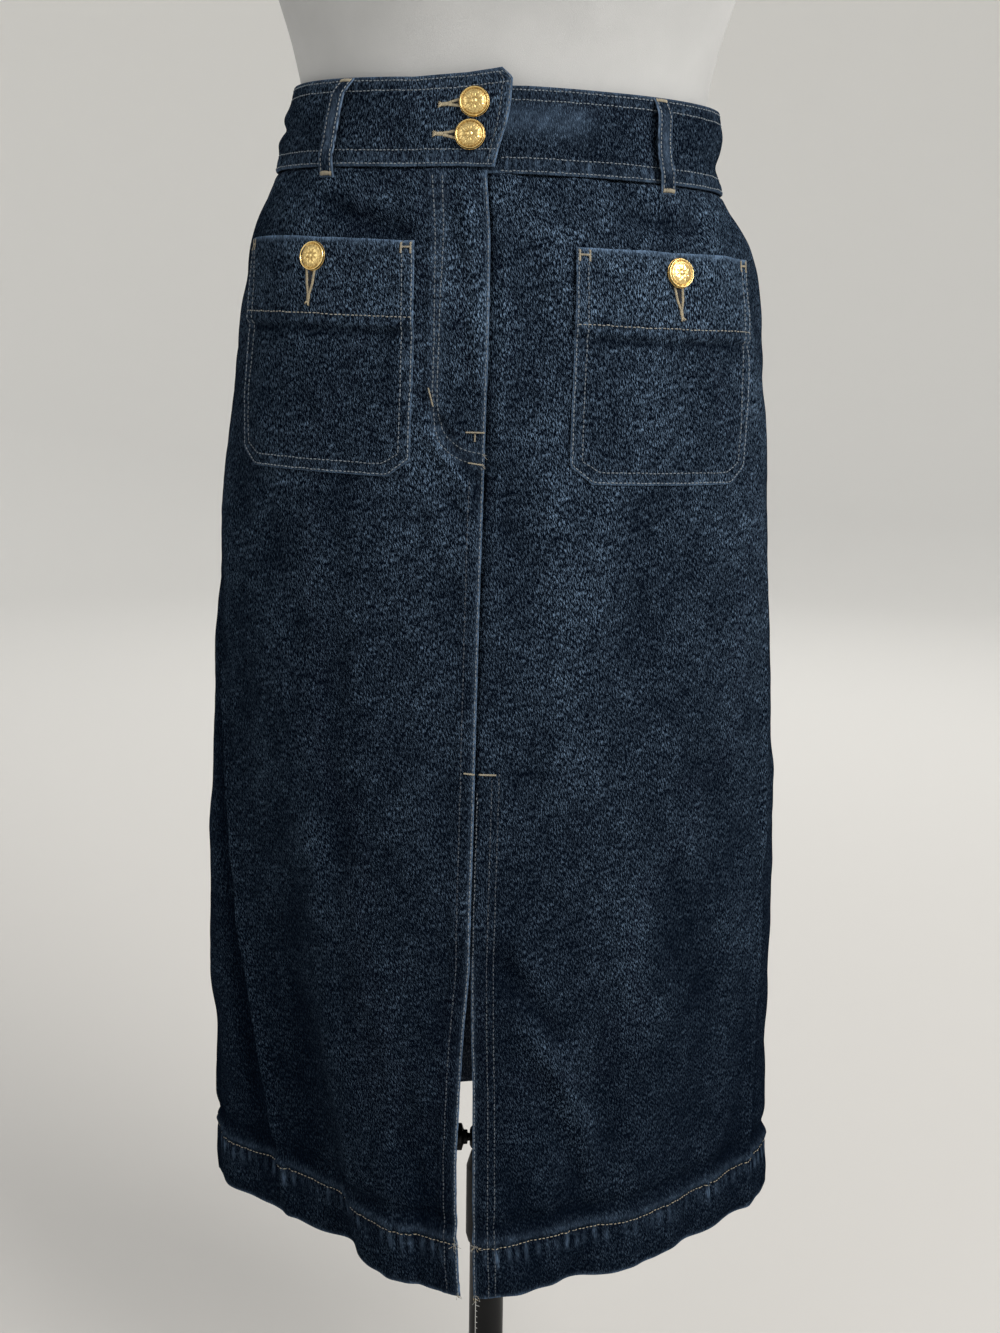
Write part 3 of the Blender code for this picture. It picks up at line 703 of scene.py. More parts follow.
def maths(tree, operation, *values, clamp=False):
    """A Math node's result for two or three values or sockets."""
    inputs = dict(enumerate(values))
    return add(tree, "ShaderNodeMath", inputs, operation=operation, use_clamp=clamp).outputs[0]


def ramp(tree, value, low, high):
    """0 below low, 1 above high, eased between."""
    inputs = {"Value": value, "From Min": low, "From Max": high}
    return add(tree, "ShaderNodeMapRange", inputs, interpolation_type="SMOOTHSTEP").outputs[0]


def blend_colours(tree, share, first, second):
    """From the first colour at 0 to the second at 1."""
    node = add(tree, "ShaderNodeMix", data_type="RGBA")
    for number, value in ((0, share), (6, first), (7, second)):
        socket = node.inputs[number]
        if isinstance(value, bpy.types.NodeSocket):
            tree.links.new(value, socket)
        else:
            socket.default_value = value
    return node.outputs[2]


def turned_place(tree, place, tilt, width=1.0, length=1.0, seed=0.0):
    """Coordinates turned by some degrees and drawn out, so that a texture on them is too."""
    inputs = {
        "Vector": place,
        "Location": (seed, seed * 1.7, 0),
        "Rotation": (0, 0, math.radians(tilt)),
        "Scale": (width, length, 1),
    }
    return add(tree, "ShaderNodeMapping", inputs, vector_type="TEXTURE").outputs[0]


def streaks(tree, place, tilt, width, length, seed):
    """Noise drawn out into short streaks, tilted from upright by some degrees."""
    turned = turned_place(tree, place, tilt, width, length, seed)
    noise = {"Vector": turned, "Scale": 1.0, "Detail": 1.5, "Roughness": 0.55}
    return add(tree, "ShaderNodeTexNoise", noise, noise_dimensions="2D").outputs[0]


def clouds(tree, place, size, detail=2.0, seed=0.0):
    """Soft patches of about the given size."""
    moved = add(tree, "ShaderNodeMapping", {"Vector": place, "Location": (seed, -seed, 0)})
    noise = {"Vector": moved.outputs[0], "Scale": 1.0 / size, "Detail": detail, "Roughness": 0.5}
    return add(tree, "ShaderNodeTexNoise", noise).outputs[0]


def group_sockets(group, inputs, outputs):
    """Declares a node group's inputs and outputs."""
    for name, kind, value in inputs:
        socket = group.interface.new_socket(name, in_out="INPUT", socket_type=kind)
        if value is not None:
            socket.default_value = value
    for name, kind in outputs:
        group.interface.new_socket(name, in_out="OUTPUT", socket_type=kind)


def make_twill_group():
    """Denim seen close: slanting twill ribs, pale flecks where the weft shows between dark warp
    yarns, cloudy wash-out, more or fewer flecks by the fade input, which holds washed-out dye
    with painted light and shade, and fading where the cloth is worn."""
    group = bpy.data.node_groups.new("twill weave", "ShaderNodeTree")
    group_sockets(
        group,
        [
            ("Place", "NodeSocketVector", None),
            ("Wear", "NodeSocketFloat", 0.0),
            ("Fade", "NodeSocketFloat", 0.5),
            ("Reverse", "NodeSocketFloat", 0.0),
            ("Dark", "NodeSocketColor", None),
            ("Fleck", "NodeSocketColor", None),
            ("Worn", "NodeSocketColor", None),
            ("Fleck Amount", "NodeSocketFloat", 1.0),
        ],
        [
            ("Colour", "NodeSocketColor"),
            ("Roughness", "NodeSocketFloat"),
            ("Height", "NodeSocketFloat"),
        ],
    )
    given = group.nodes.new("NodeGroupInput").outputs
    result = group.nodes.new("NodeGroupOutput")
    scaling = {0: given["Place"], 1: (1000, 1000, 1000)}
    place = add(group, "ShaderNodeVectorMath", scaling, operation="MULTIPLY").outputs[0]
    steep = streaks(group, place, 16, 0.54, 2.9, 3.0)
    crossing = streaks(group, place, -30, 0.50, 2.4, 9.0)
    yarn = streaks(group, place, 2, 0.42, 5.0, 5.0)
    patches = ramp(group, clouds(group, place, 42, 3.0), 0.34, 0.68)
    small_patches = ramp(group, clouds(group, place, 9, 2.0, 30.0), 0.35, 0.70)
    slanting = {
        "Vector": turned_place(group, place, -28),
        "Scale": 0.36,
        "Distortion": 1.2,
        "Detail": 1.0,
        "Detail Scale": 2.0,
    }
    ribs = add(group, "ShaderNodeTexWave", slanting, bands_direction="X").outputs[1]
    bright = ramp(group, steep, 0.53, 0.67)
    faint = ramp(group, crossing, 0.52, 0.72)
    flecks = maths(group, "MAXIMUM", bright, maths(group, "MULTIPLY", faint, 0.30))
    density = maths(group, "MULTIPLY_ADD", patches, 0.34, 0.60)
    # the fade input, washed-out dye with painted light and shade, scales the flecks
    flecks = maths(group, "MULTIPLY", flecks, maths(group, "MULTIPLY", density, given["Fade"]))
    uneven = maths(group, "MULTIPLY_ADD", small_patches, 0.5, 0.62)
    flecks = maths(group, "MULTIPLY", flecks, uneven)
    flecks = maths(group, "MULTIPLY", flecks, maths(group, "MULTIPLY_ADD", ribs, 0.30, 0.80))
    flecks = maths(group, "MULTIPLY", flecks, given["Fleck Amount"], clamp=True)
    pale = maths(group, "MULTIPLY", flecks, 0.85)
    ground = blend_colours(group, pale, given["Dark"], given["Fleck"])
    rubbed = maths(group, "MULTIPLY", given["Wear"], ramp(group, yarn, 0.22, 0.62))
    rubbed = maths(group, "MULTIPLY", rubbed, uneven, clamp=True)
    face = blend_colours(group, rubbed, ground, given["Worn"])
    back = blend_colours(group, bright, (0.012, 0.017, 0.028, 1), (0.075, 0.090, 0.115, 1))
    turned_over = maths(group, "MULTIPLY", given["Reverse"], 0.8)
    colour = blend_colours(group, turned_over, face, back)
    rough = maths(group, "MULTIPLY_ADD", flecks, -0.12, 0.90)
    yarns = maths(group, "MULTIPLY_ADD", yarn, 0.5, maths(group, "MULTIPLY", steep, 0.9))
    height = maths(group, "MULTIPLY_ADD", ribs, 0.45, yarns)
    link_all(group, result, Colour=colour, Roughness=rough, Height=height)
    return group


def new_material(name, colour=(0.5, 0.5, 0.5), roughness=0.5, metallic=0.0, **sockets):
    """A material and its Principled shader, with constants set on the shader's own sockets."""
    material = bpy.data.materials.new(name)
    material.use_nodes = True
    shader = material.node_tree.nodes["Principled BSDF"]
    shader.inputs["Base Color"].default_value = (*colour, 1.0)
    shader.inputs["Roughness"].default_value = roughness
    shader.inputs["Metallic"].default_value = metallic
    for socket, value in sockets.items():
        shader.inputs[socket.replace("_", " ")].default_value = value
    return material, material.node_tree, shader


def bumps(tree, height, strength, distance):
    """A normal bumped by a height."""
    inputs = {"Strength": strength, "Distance": distance, "Height": height}
    return add(tree, "ShaderNodeBump", inputs).outputs[0]


def noise_on(tree, scale, detail):
    """Noise on the object's own coordinates."""
    place = add(tree, "ShaderNodeTexCoord").outputs["Object"]
    inputs = {"Vector": place, "Scale": scale, "Detail": detail}
    return add(tree, "ShaderNodeTexNoise", inputs).outputs[0]


def make_denim(name, twill, dark, fleck, worn, amount):
    """Matt denim in the given shades: its place on the cloth and its fading, which carries painted
    light and shade, come from the mesh.
    """
    material, tree, shader = new_material(name, roughness=0.9, Specular_IOR_Level=0.0)
    weave = tree.nodes.new("ShaderNodeGroup")
    weave.node_tree = twill
    tree.links.new(add(tree, "ShaderNodeUVMap", uv_map="UVMap").outputs[0], weave.inputs["Place"])
    # the fade attribute holds washed-out dye with painted light and shade
    for label in ("Wear", "Fade", "Reverse"):
        mask = add(tree, "ShaderNodeAttribute", attribute_name=label.lower())
        tree.links.new(mask.outputs["Fac"], weave.inputs[label])
    for label, colour in (("Dark", dark), ("Fleck", fleck), ("Worn", worn)):
        weave.inputs[label].default_value = (*colour, 1)
    weave.inputs["Fleck Amount"].default_value = amount
    colour, rough, height = (weave.outputs[name] for name in ("Colour", "Roughness", "Height"))
    bump = bumps(tree, height, 0.55, 0.0006)
    link_all(tree, shader, Base_Color=colour, Roughness=rough, Normal=bump)
    return material


def make_thread():
    """Spun sewing thread, from pale grey to golden tan, each stitch a little different."""
    material, tree, shader = new_material("sewing thread", roughness=0.75, Specular_IOR_Level=0.3)
    tan = add(tree, "ShaderNodeAttribute", attribute_name="tan").outputs["Fac"]
    shade = add(tree, "ShaderNodeAttribute", attribute_name="shade").outputs["Fac"]
    colour = blend_colours(tree, tan, (0.21, 0.24, 0.265, 1), (0.44, 0.33, 0.15, 1))
    dulled = blend_colours(tree, shade, colour, (0.020, 0.027, 0.040, 1))
    bump = bumps(tree, noise_on(tree, 5200.0, 1.0), 0.5, 0.0001)
    link_all(tree, shader, Base_Color=dulled, Normal=bump)
    return material


def make_gold():
    """Plated brass: bright on the raised work, brown and duller in its hollows."""
    material, tree, shader = new_material("gold plate", roughness=0.3, metallic=1.0)
    hollow = add(tree, "ShaderNodeAttribute", attribute_name="hollow").outputs["Fac"]
    speck = noise_on(tree, 900.0, 3.0)
    stain = maths(tree, "MULTIPLY", hollow, ramp(tree, speck, 0.25, 0.65), clamp=True)
    colour = blend_colours(tree, stain, (0.86, 0.64, 0.27, 1), (0.30, 0.18, 0.055, 1))
    rough = maths(tree, "MULTIPLY_ADD", stain, 0.30, 0.24)
    bump = bumps(tree, speck, 0.25, 0.0002)
    link_all(tree, shader, Base_Color=colour, Roughness=rough, Normal=bump)
    return material


def make_surface(name, colours, roughness, grain, bump_depth, metallic=0.0, **sockets):
    """A plain finish with soft changes of shade and a fine grain, both on object coordinates."""
    material, tree, shader = new_material(name, colours[0], roughness[0], metallic, **sockets)
    mask = ramp(tree, noise_on(tree, 14.0, 4.0), 0.3, 0.7)
    colour = blend_colours(tree, mask, (*colours[0], 1), (*colours[1], 1))
    rough = maths(tree, "MULTIPLY_ADD", mask, roughness[1] - roughness[0], roughness[0])
    bump = bumps(tree, noise_on(tree, grain, 2.0), 0.4, bump_depth)
    link_all(tree, shader, Base_Color=colour, Roughness=rough, Normal=bump)
    return material


TWILL = make_twill_group()
DENIM = make_denim(
    "indigo denim",
    TWILL,
    dark=(0.0011, 0.0024, 0.0058),
    fleck=(0.165, 0.248, 0.362),
    worn=(0.120, 0.185, 0.285),
    amount=0.93,
)
DENIM_TRIM = make_denim(
    "indigo denim on the bias",
    TWILL,
    dark=(0.0020, 0.0042, 0.0095),
    fleck=(0.150, 0.225, 0.330),
    worn=(0.145, 0.215, 0.320),
    amount=1.7,
)
THREADS = make_thread()
GOLD = make_gold()
JERSEY = make_surface(
    "form cover",
    ((0.40, 0.40, 0.395), (0.45, 0.45, 0.445)),
    (0.85, 0.92),
    grain=2600.0,
    bump_depth=0.0004,
    Sheen_Weight=0.15,
)
BLACK_GLOSS = make_surface(
    "black enamel",
    ((0.0025, 0.0025, 0.003), (0.004, 0.004, 0.0045)),
    (0.34, 0.46),
    grain=420.0,
    bump_depth=0.0001,
    Specular_IOR_Level=0.28,
)
BLACK_PLASTIC = make_surface(
    "black plastic",
    ((0.004, 0.004, 0.0045), (0.007, 0.007, 0.0075)),
    (0.45, 0.58),
    grain=1600.0,
    bump_depth=0.0002,
    Specular_IOR_Level=0.2,
)
WHITE_INK = make_surface(
    "white ink",
    ((0.62, 0.62, 0.60), (0.55, 0.55, 0.53)),
    (0.5, 0.6),
    grain=900.0,
    bump_depth=0.0001,
)
# painted shadow for the buttonholes' openings
SLIT_SHADOW = make_surface(
    "cut edge shadow",
    ((0.006, 0.007, 0.010), (0.010, 0.011, 0.014)),
    (0.9, 0.95),
    grain=2200.0,
    bump_depth=0.0002,
)


# ---------------------------------------------------------------- panels

PANEL_STEP = 0.0028
BACK_STEP = 0.0036
SEAM_ANGLE = math.radians(92.0)
SEAM_GAP = 0.0012  # radians that each panel stops short of the side seam


def band_lower_edge(angle, under_tab=False):
    """The waistband's lower edge at an angle from the front: the tab's, or its other end's."""
    tab_from = math.radians(-30.0) if under_tab else BAND_FIRST
    turned_on = np.where(angle > tab_from, angle - 2 * math.pi, angle)
    return np.interp(np.degrees(turned_on), BAND_EDGES[:, 0], BAND_EDGES[:, 1])


def panel_rows(step):
    """Heights down a panel: from behind the waistband to the hem, closer near the hem."""
    top = WAIST_SEAM + np.array([0.0040, 0.0025, 0.0010, 0.0, -0.0006, -0.0012, -0.0020, -0.0035])
    middle = np.linspace(WAIST_SEAM - 0.0055, 0.0520, int((WAIST_SEAM - 0.0575) / step))
    low = np.linspace(0.0500, 0.0022, 30)
    return np.concatenate([top, middle, low, [0.0010, 0.0004, 0.00012, 0.0]])


def lift_to_band(angle, height, under_tab=False):
    """Shifts the top rows so that they follow the waistband's lower edge."""
    shift = band_lower_edge(angle, under_tab) - WAIST_SEAM
    return height + shift * smooth_step((height - 0.690) / 0.050)


def behind_band(angle, height, under_tab=False):
    """The panel's top dips in behind the waistband's lower edge."""
    below = band_lower_edge(angle, under_tab) - height
    return -0.0034 * smooth_step(1 - (below + 0.0004) / 0.0030)


def make_panel(name, start, end, rows, share, out_of, wall_of, edge_of, under_tab=False):
    """A panel between two long edges. start and end give the edges' places by height. The other
    functions give how far out a place lies, its wall, and its distance from an open edge."""
    height = np.broadcast_to(rows[:, None], (len(rows), len(share)))
    along = start(height) + (end(height) - start(height)) * share
    angle = angle_of(along, height)
    height = lift_to_band(angle, height, under_tab)
    out = out_of(along, height) + behind_band(angle, height, under_tab)
    relief = skirt_relief(angle, along, height)
    wall = wall_of(along, height)
    distance = np.minimum(edge_of(along, height), height)
    round_in = rounding(distance, wall)
    middle = body_surface(angle, height)
    normal = outward(angle, height)
    outer = middle + normal * (out + relief - round_in)[..., None]
    inner = middle + normal * (out + relief - wall + round_in)[..., None]
    wear = panel_wear(along, height, distance)
    place = np.stack([along, height], axis=-1)
    # the relief also paints light on ridges and shade in hollows through the fade attribute
    return make_wall(name, outer, inner, place, wear, DENIM, relief)


def panel_wear(along, height, distance):
    """Fading on open edges, on the ridges of the hem and beside the seams."""
    below = HEM_STITCH - height
    ridges = roping(along) * np.clip(wobble(along + 0.10 * height, 0.0076), 0, 1)
    hem = ridges * bell(below, 0.0060, 0.0055)
    roll = bell(below, -0.0045, 0.0026) * (0.7 + 0.3 * wobble(along, 0.013))
    wear = np.maximum(edge_wear(distance, 0.0013) * 0.85, 0.80 * hem)
    wear = np.maximum(wear, 0.20 * roll)
    for path in FLY_PATHS:
        away, run = nearest(along, height, path)
        wear = np.maximum(wear, 0.25 * bell(away, 0, 0.003) * (0.5 + 0.5 * wobble(run, 0.0085)))
    return wear


def along_at(turn):
    """The place along the cloth of an angle from the front, by height."""
    return lambda height: along_of(np.full(np.shape(height), turn), height)


RIGHT_SEAM = along_at(-(SEAM_ANGLE - SEAM_GAP))
LEFT_SEAM = along_at(SEAM_ANGLE - SEAM_GAP)


def wall_where(doubled):
    """One layer of cloth, or two where doubled is 1."""
    return SINGLE + (DOUBLE - SINGLE) * doubled


def hem_turned(height):
    """1 over the turned hem and 0 above it."""
    return smooth_step((HEM_TURN - height) / 0.0012)


def right_inset(along, height):
    """How far inside the right front's edge a place is, and how wide the facing is there."""
    return front_edge(1, height) - along, np.where(height > FLY_END, FLY_FACING, FACING)


def right_out(along, height):
    """The right front stands a little higher over its facing."""
    inset, facing = right_inset(along, height)
    return EDGE_RISE * smooth_step((facing + 0.001 - inset) / 0.004)


def make_front_right():
    """The wearer's right front, which laps over at the fly and runs down to the slit."""
    width = 0.285
    share = 1 - spaced(width, PANEL_STEP, 0.050, 0.0014)[::-1] / width

    def end(height):
        return front_edge(1, height)

    def wall_of(along, height):
        inset, facing = right_inset(along, height)
        return wall_where(np.maximum(smooth_step((facing - inset) / 0.0012), hem_turned(height)))

    def edge_of(along, height):
        return front_edge(1, height) - along

    rows = panel_rows(PANEL_STEP)
    name = "denim_front_right"
    return make_panel(name, RIGHT_SEAM, end, rows, share, right_out, wall_of, edge_of)


def underlap_reach(height):
    """How far the left front reaches under the right one, past its own edge."""
    return np.interp(height, UNDERLAP[:, 0], UNDERLAP[:, 1])


def left_out(along, height):
    """The left front lies lower where the right one laps over it."""
    inset = along - front_edge(2, height)
    lapped = np.where(height > 0.250, 1.0, smooth_step((height - 0.235) / 0.015))
    return -UNDERLAP_DROP * lapped * smooth_step((0.0030 - inset) / 0.0040)


def make_front_left():
    """The wearer's left front, with the underlap that the fly closes over."""
    width = 0.300
    share = spaced(width, PANEL_STEP, 0.060, 0.0014) / width

    def start(height):
        return front_edge(2, height) - underlap_reach(height)

    def wall_of(along, height):
        inset = along - front_edge(2, height)
        faced = smooth_step((FACING - inset) / 0.0012)
        faced = faced * smooth_step((SLIT_TOP + 0.010 - height) / 0.010)
        return wall_where(np.maximum(faced, hem_turned(height)))

    def edge_of(along, height):
        return along - front_edge(2, height) + underlap_reach(height)

    rows = panel_rows(PANEL_STEP)
    name = "denim_front_left"
    return make_panel(name, start, LEFT_SEAM, rows, share, left_out, wall_of, edge_of, under_tab=True)


def make_back():
    """The back, from side seam to side seam, with a dart each side of its middle."""
    first = along_at(SEAM_ANGLE + SEAM_GAP)
    last = along_at(2 * math.pi - SEAM_ANGLE - SEAM_GAP)
    width = 0.560
    share = spaced(width, BACK_STEP) / width

    def out_of(along, height):
        return np.zeros(np.shape(along))

    def wall_of(along, height):
        return wall_where(hem_turned(height))

    def edge_of(along, height):
        return np.full(np.shape(along), 1.0)

    rows = panel_rows(BACK_STEP)
    return make_panel("denim_back", first, last, rows, share, out_of, wall_of, edge_of)


# ---------------------------------------------------------------- pockets


def pocket_outline(start, inset=0.0):
    """A pocket's corners, clockwise from its upper left, moved in from the edge."""
    left, right = start + inset, start + POCKET_WIDTH - inset
    bottom = POCKET_BOTTOM + inset
    slope = inset * 0.45
    return [
        (left, POCKET_TOP),
        (left, POCKET_CORNER + slope),
        (left + CORNER_CUT - slope, bottom),
        (right - CORNER_CUT + slope, bottom),
        (right, POCKET_CORNER + slope),
        (right, POCKET_TOP),
    ]


def pocket_out(start):
    """How far out a pocket's face lies: one layer, two over its top hem, and a gaping mouth."""

    def out_of(along, height):
        hem = smooth_step((height - POCKET_LINE + 0.0072) / 0.0016)
        under = bell(height - POCKET_LINE, -0.0095, 0.0024)
        middle = 1 - (2 * (along - start) / POCKET_WIDTH - 1) ** 2
        gape = 0.0012 * np.clip(middle, 0, 1) * smooth_step((height - POCKET_LINE) / 0.045)
        stitched = (0.0014, 0.00025, 0.0002, 0.0068)
        rows = sum(sewn(along, height, path, *stitched) for path in pocket_rows(start))
        return LAYER_GAP + SINGLE + 0.0022 * hem - 0.0006 * under + gape + rows

    return out_of


def pocket_rows(start):
    """The pocket's sewn rows: the edge row, the inner row, and the top hem's."""
    across = [(start + 0.0012, POCKET_LINE), (start + POCKET_WIDTH - 0.0012, POCKET_LINE)]
    return [pocket_outline(start, 0.0015), pocket_outline(start, 0.0078), across]


def make_pocket(name, start):
    """A patch pocket with two cut corners and a deep turned hem along its top."""
    rows = POCKET_TOP - spaced(POCKET_TOP - POCKET_BOTTOM, 0.0017)
    share = spaced(POCKET_WIDTH, 0.0017) / POCKET_WIDTH
    height = np.broadcast_to(rows[:, None], (len(rows), len(share)))
    cut = CORNER_CUT * np.clip((POCKET_CORNER - height) / (POCKET_CORNER - POCKET_BOTTOM), 0, 1)
    along = start + cut + (POCKET_WIDTH - 2 * cut) * share
    outline = pocket_outline(start)
    distance, run = nearest(along, height, [*outline, outline[0]])
    wall = SINGLE + 0.0009 * smooth_step((height - POCKET_LINE + 0.0075) / 0.0022)
    round_in = rounding(distance, wall)
    out = pocket_out(start)(along, height)
    outer = drape(along, height, out - round_in)
    inner = drape(along, height, out - wall + round_in)
    above_line = height - POCKET_LINE
    top = bell(height, POCKET_TOP, 0.0020)
    between = bell(distance, 0.0045, 0.0030) * np.clip(wobble(run, 0.0068), 0, 1)
    line = bell(above_line, -0.0035, 0.0028) * np.clip(wobble(along, 0.0052), 0, 1)
    rim = edge_wear(distance, 0.0011) * 0.62
    wear = np.maximum.reduce([rim, 0.9 * top, 0.28 * between, 0.35 * line])
    # painted light on the raised top hem and a painted shadow line under its lower edge, through the
    # fade attribute
    lift = 0.0030 * smooth_step(above_line / 0.004) - 0.0050 * bell(above_line, -0.0098, 0.0024)
    place = np.stack([along, height], axis=-1)
    return make_wall("denim_" + name, outer, inner, place, wear, DENIM, lift)


# ---------------------------------------------------------------- the waistband


def band_edge(column, angle):
    """A column of the band's table at an angle."""
    return np.interp(np.degrees(angle), BAND_EDGES[:, 0], BAND_EDGES[:, column])


def under_end(angle):
    """1 on the stretch of band that the tab lies over, and 0 before it."""
    return smooth_step((np.degrees(-angle) - 325) / 12)


def band_relief(angle, along, share):
    """The band's own shape: a soft middle between stitched edges, puckers across the double rows,
    slow waves along it, and on the under end a lengthwise ridge and trough."""
    up = share * BAND_WIDTH
    down = (1 - share) * BAND_WIDTH
    waves = 0.0007 * np.sin(along / 0.0105 + 4 * share) * share * (1 - share) * 4
    middle = 0.0008 * np.sin(math.pi * share) ** 2 + waves
    low = bell(up, 0.0057, 0.0036)
    high = bell(down, 0.0057, 0.0030)
    pucker = 0.00060 * wobble(along, 0.0054) * low + 0.00036 * wobble(along + 0.31, 0.0050) * high
    rows = [up - inset for inset in BAND_ROWS["low"]]
    rows += [down - inset for inset in BAND_ROWS["high"]]
    grooves = sum(-0.00028 * bell(row, 0, 0.0011) for row in rows)
    degrees = np.degrees(-angle)
    rolls = 0.0017 * bell(share, 0.64, 0.10) + 0.0016 * bell(share, 0.32, 0.08)
    rolls = rolls - 0.0020 * bell(share, 0.50, 0.06)
    hollow = 0.0014 * bell(share, 0.70, 0.14) - 0.0026 * bell(share, 0.34, 0.12)
    sides = rolls * bell(degrees, 92, 26) + hollow * bell(degrees, 268, 24)
    lengthwise = 0.0010 * bell(share, 0.66, 0.085) - 0.0010 * bell(share, 0.80, 0.07)
    return middle + sides + pucker + grooves + under_end(angle) * lengthwise


def band_place(angle, share):
    """(angle, height) on the band: the tab's end is bowed, and the edges follow the table."""
    tab = np.exp(-((np.maximum(BAND_FIRST - angle, 0) / math.radians(7.0)) ** 1.5))
    end = np.interp(share, TAB_END[:, 0], TAB_END[:, 1]) - TAB_END[:, 1].max()
    angle = angle + tab * end / 0.100
    lower, upper = band_edge(1, angle), band_edge(2, angle)
    return angle, lower + (upper - lower) * share


def on_band(angle, share, out=0.0):
    """Points of the waistband's outer face, by the angle reached and the share up it."""
    angle, share = np.broadcast_arrays(np.asarray(angle, float), np.asarray(share, float))
    angle, height = band_place(angle, share)
    along = angle * BAND_REACH
    flare = 0.0012 * smooth_step((np.degrees(angle) + 6.0) / 8.0) * smooth_step((share - 0.3) / 0.7)
    face = band_edge(3, angle) + BAND_PUFF + flare + band_relief(angle, along, share)
    return cloth(angle, height, face + out)


def make_waistband():
    """The waistband, whose tab laps over its other end at the front."""
    run = spaced(BAND_LENGTH, 0.0021)[::-1] / BAND_LENGTH
    angle = BAND_FIRST + (BAND_LAST - BAND_FIRST) * run
    share = 1 - spaced(BAND_WIDTH, 0.0017) / BAND_WIDTH
    angle, share = np.meshgrid(angle, share)
    from_end = np.minimum(BAND_FIRST - angle, angle - BAND_LAST) * BAND_REACH
    distance = np.minimum(np.minimum(share, 1 - share) * BAND_WIDTH, from_end)
    wall = DOUBLE + BAND_PUFF
    round_in = rounding(distance, wall)
    outer = on_band(angle, share, -round_in)
    inner = on_band(angle, share, round_in - wall)
    along = angle * BAND_REACH
    low = bell(share * BAND_WIDTH, 0.0057, 0.0036) * np.clip(wobble(along, 0.0054), 0, 1)
    high = bell((1 - share) * BAND_WIDTH, 0.0057, 0.003)
    high = high * np.clip(wobble(along + 0.31, 0.0050), 0, 1)
    tab_end = bell(np.maximum(BAND_FIRST - angle, 0) * BAND_REACH, 0, 0.0026)
    under = under_end(angle) * 0.30 * bell(share, 0.62, 0.16)
    rim = 0.55 * edge_wear(distance, 0.0013)
    wear = np.maximum.reduce([rim, 0.60 * low, 0.36 * high, 0.9 * tab_end, under])
    place = np.stack([along, WAIST_SEAM + share * BAND_WIDTH], axis=-1)
    return make_wall("denim_waistband", outer, inner, place, wear, DENIM)


def loop_place(degrees, across, share, out=0.0):
    """Points of a belt loop: it lies flat at both ends and bows out between them. across runs
    from -1 to 1 over its width."""
    turned_on = degrees if degrees < 0 else degrees - 360
    upper = np.interp(turned_on, BAND_EDGES[:, 0], BAND_EDGES[:, 2]) - 0.0006
    lower = band_lower_edge(math.radians(degrees)) - LOOP_BELOW
    height = lower + (upper - lower) * share
    rise = np.minimum(share, 1 - share) / 0.22
    bow = LAYER_GAP + BAND_PUFF + LOOP_CLEAR * smooth_step(rise)
    bow = bow + 0.0006 * np.sin(7 * share + degrees)
    sag = 0.0012 * bell(np.minimum(share, 1 - share), 0, 0.05)
    middle = math.radians(degrees)
    angle = middle + across * LOOP_WIDTH / 2 / ring_radius(middle, WAIST_SEAM)
    angle = angle + 0.006 * np.sin(3.2 * share + degrees)
    puff = 0.00035 * np.cos(across * math.pi) - 0.0002 * bell(np.abs(across), 0.62, 0.12)
    dimples = 0.00018 * wobble(share * LOOP_LENGTH + degrees, 0.0052)
    dimples = dimples * bell(np.abs(across), 0.8, 0.2)
    return cloth(angle, height, bow - sag + LOOP_WALL + puff + dimples + out)


def make_belt_loop(name, degrees):
    """A narrow folded strip that bows out over the waistband, held down at both its ends."""
    share = 1 - spaced(LOOP_LENGTH, 0.0011)[:, None] / LOOP_LENGTH
    across = spaced(LOOP_WIDTH, 0.0009)[None, :] / (LOOP_WIDTH / 2) - 1
    share, across = np.broadcast_arrays(share, across)
    from_side = (1 - np.abs(across)) * LOOP_WIDTH / 2
    distance = np.minimum(np.minimum(share, 1 - share) * LOOP_LENGTH, from_side)
    round_in = rounding(distance, LOOP_WALL)
    outer = loop_place(degrees, across, share, -round_in)
    inner = loop_place(degrees, across, share, round_in - LOOP_WALL)
    sides, rim = 0.80 * edge_wear(from_side, 0.0010), 0.45 * edge_wear(distance, 0.0012)
    middle = 0.35 * np.sin(math.pi * share) ** 2 * bell(across, 0, 0.6)
    wear = np.maximum.reduce([sides, rim, middle])
    place = np.stack([across * LOOP_WIDTH / 2 + degrees * 0.002, share * LOOP_LENGTH], axis=-1)
    return make_wall("denim_" + name, outer, inner, place, wear, DENIM_TRIM)


# ---------------------------------------------------------------- stitching


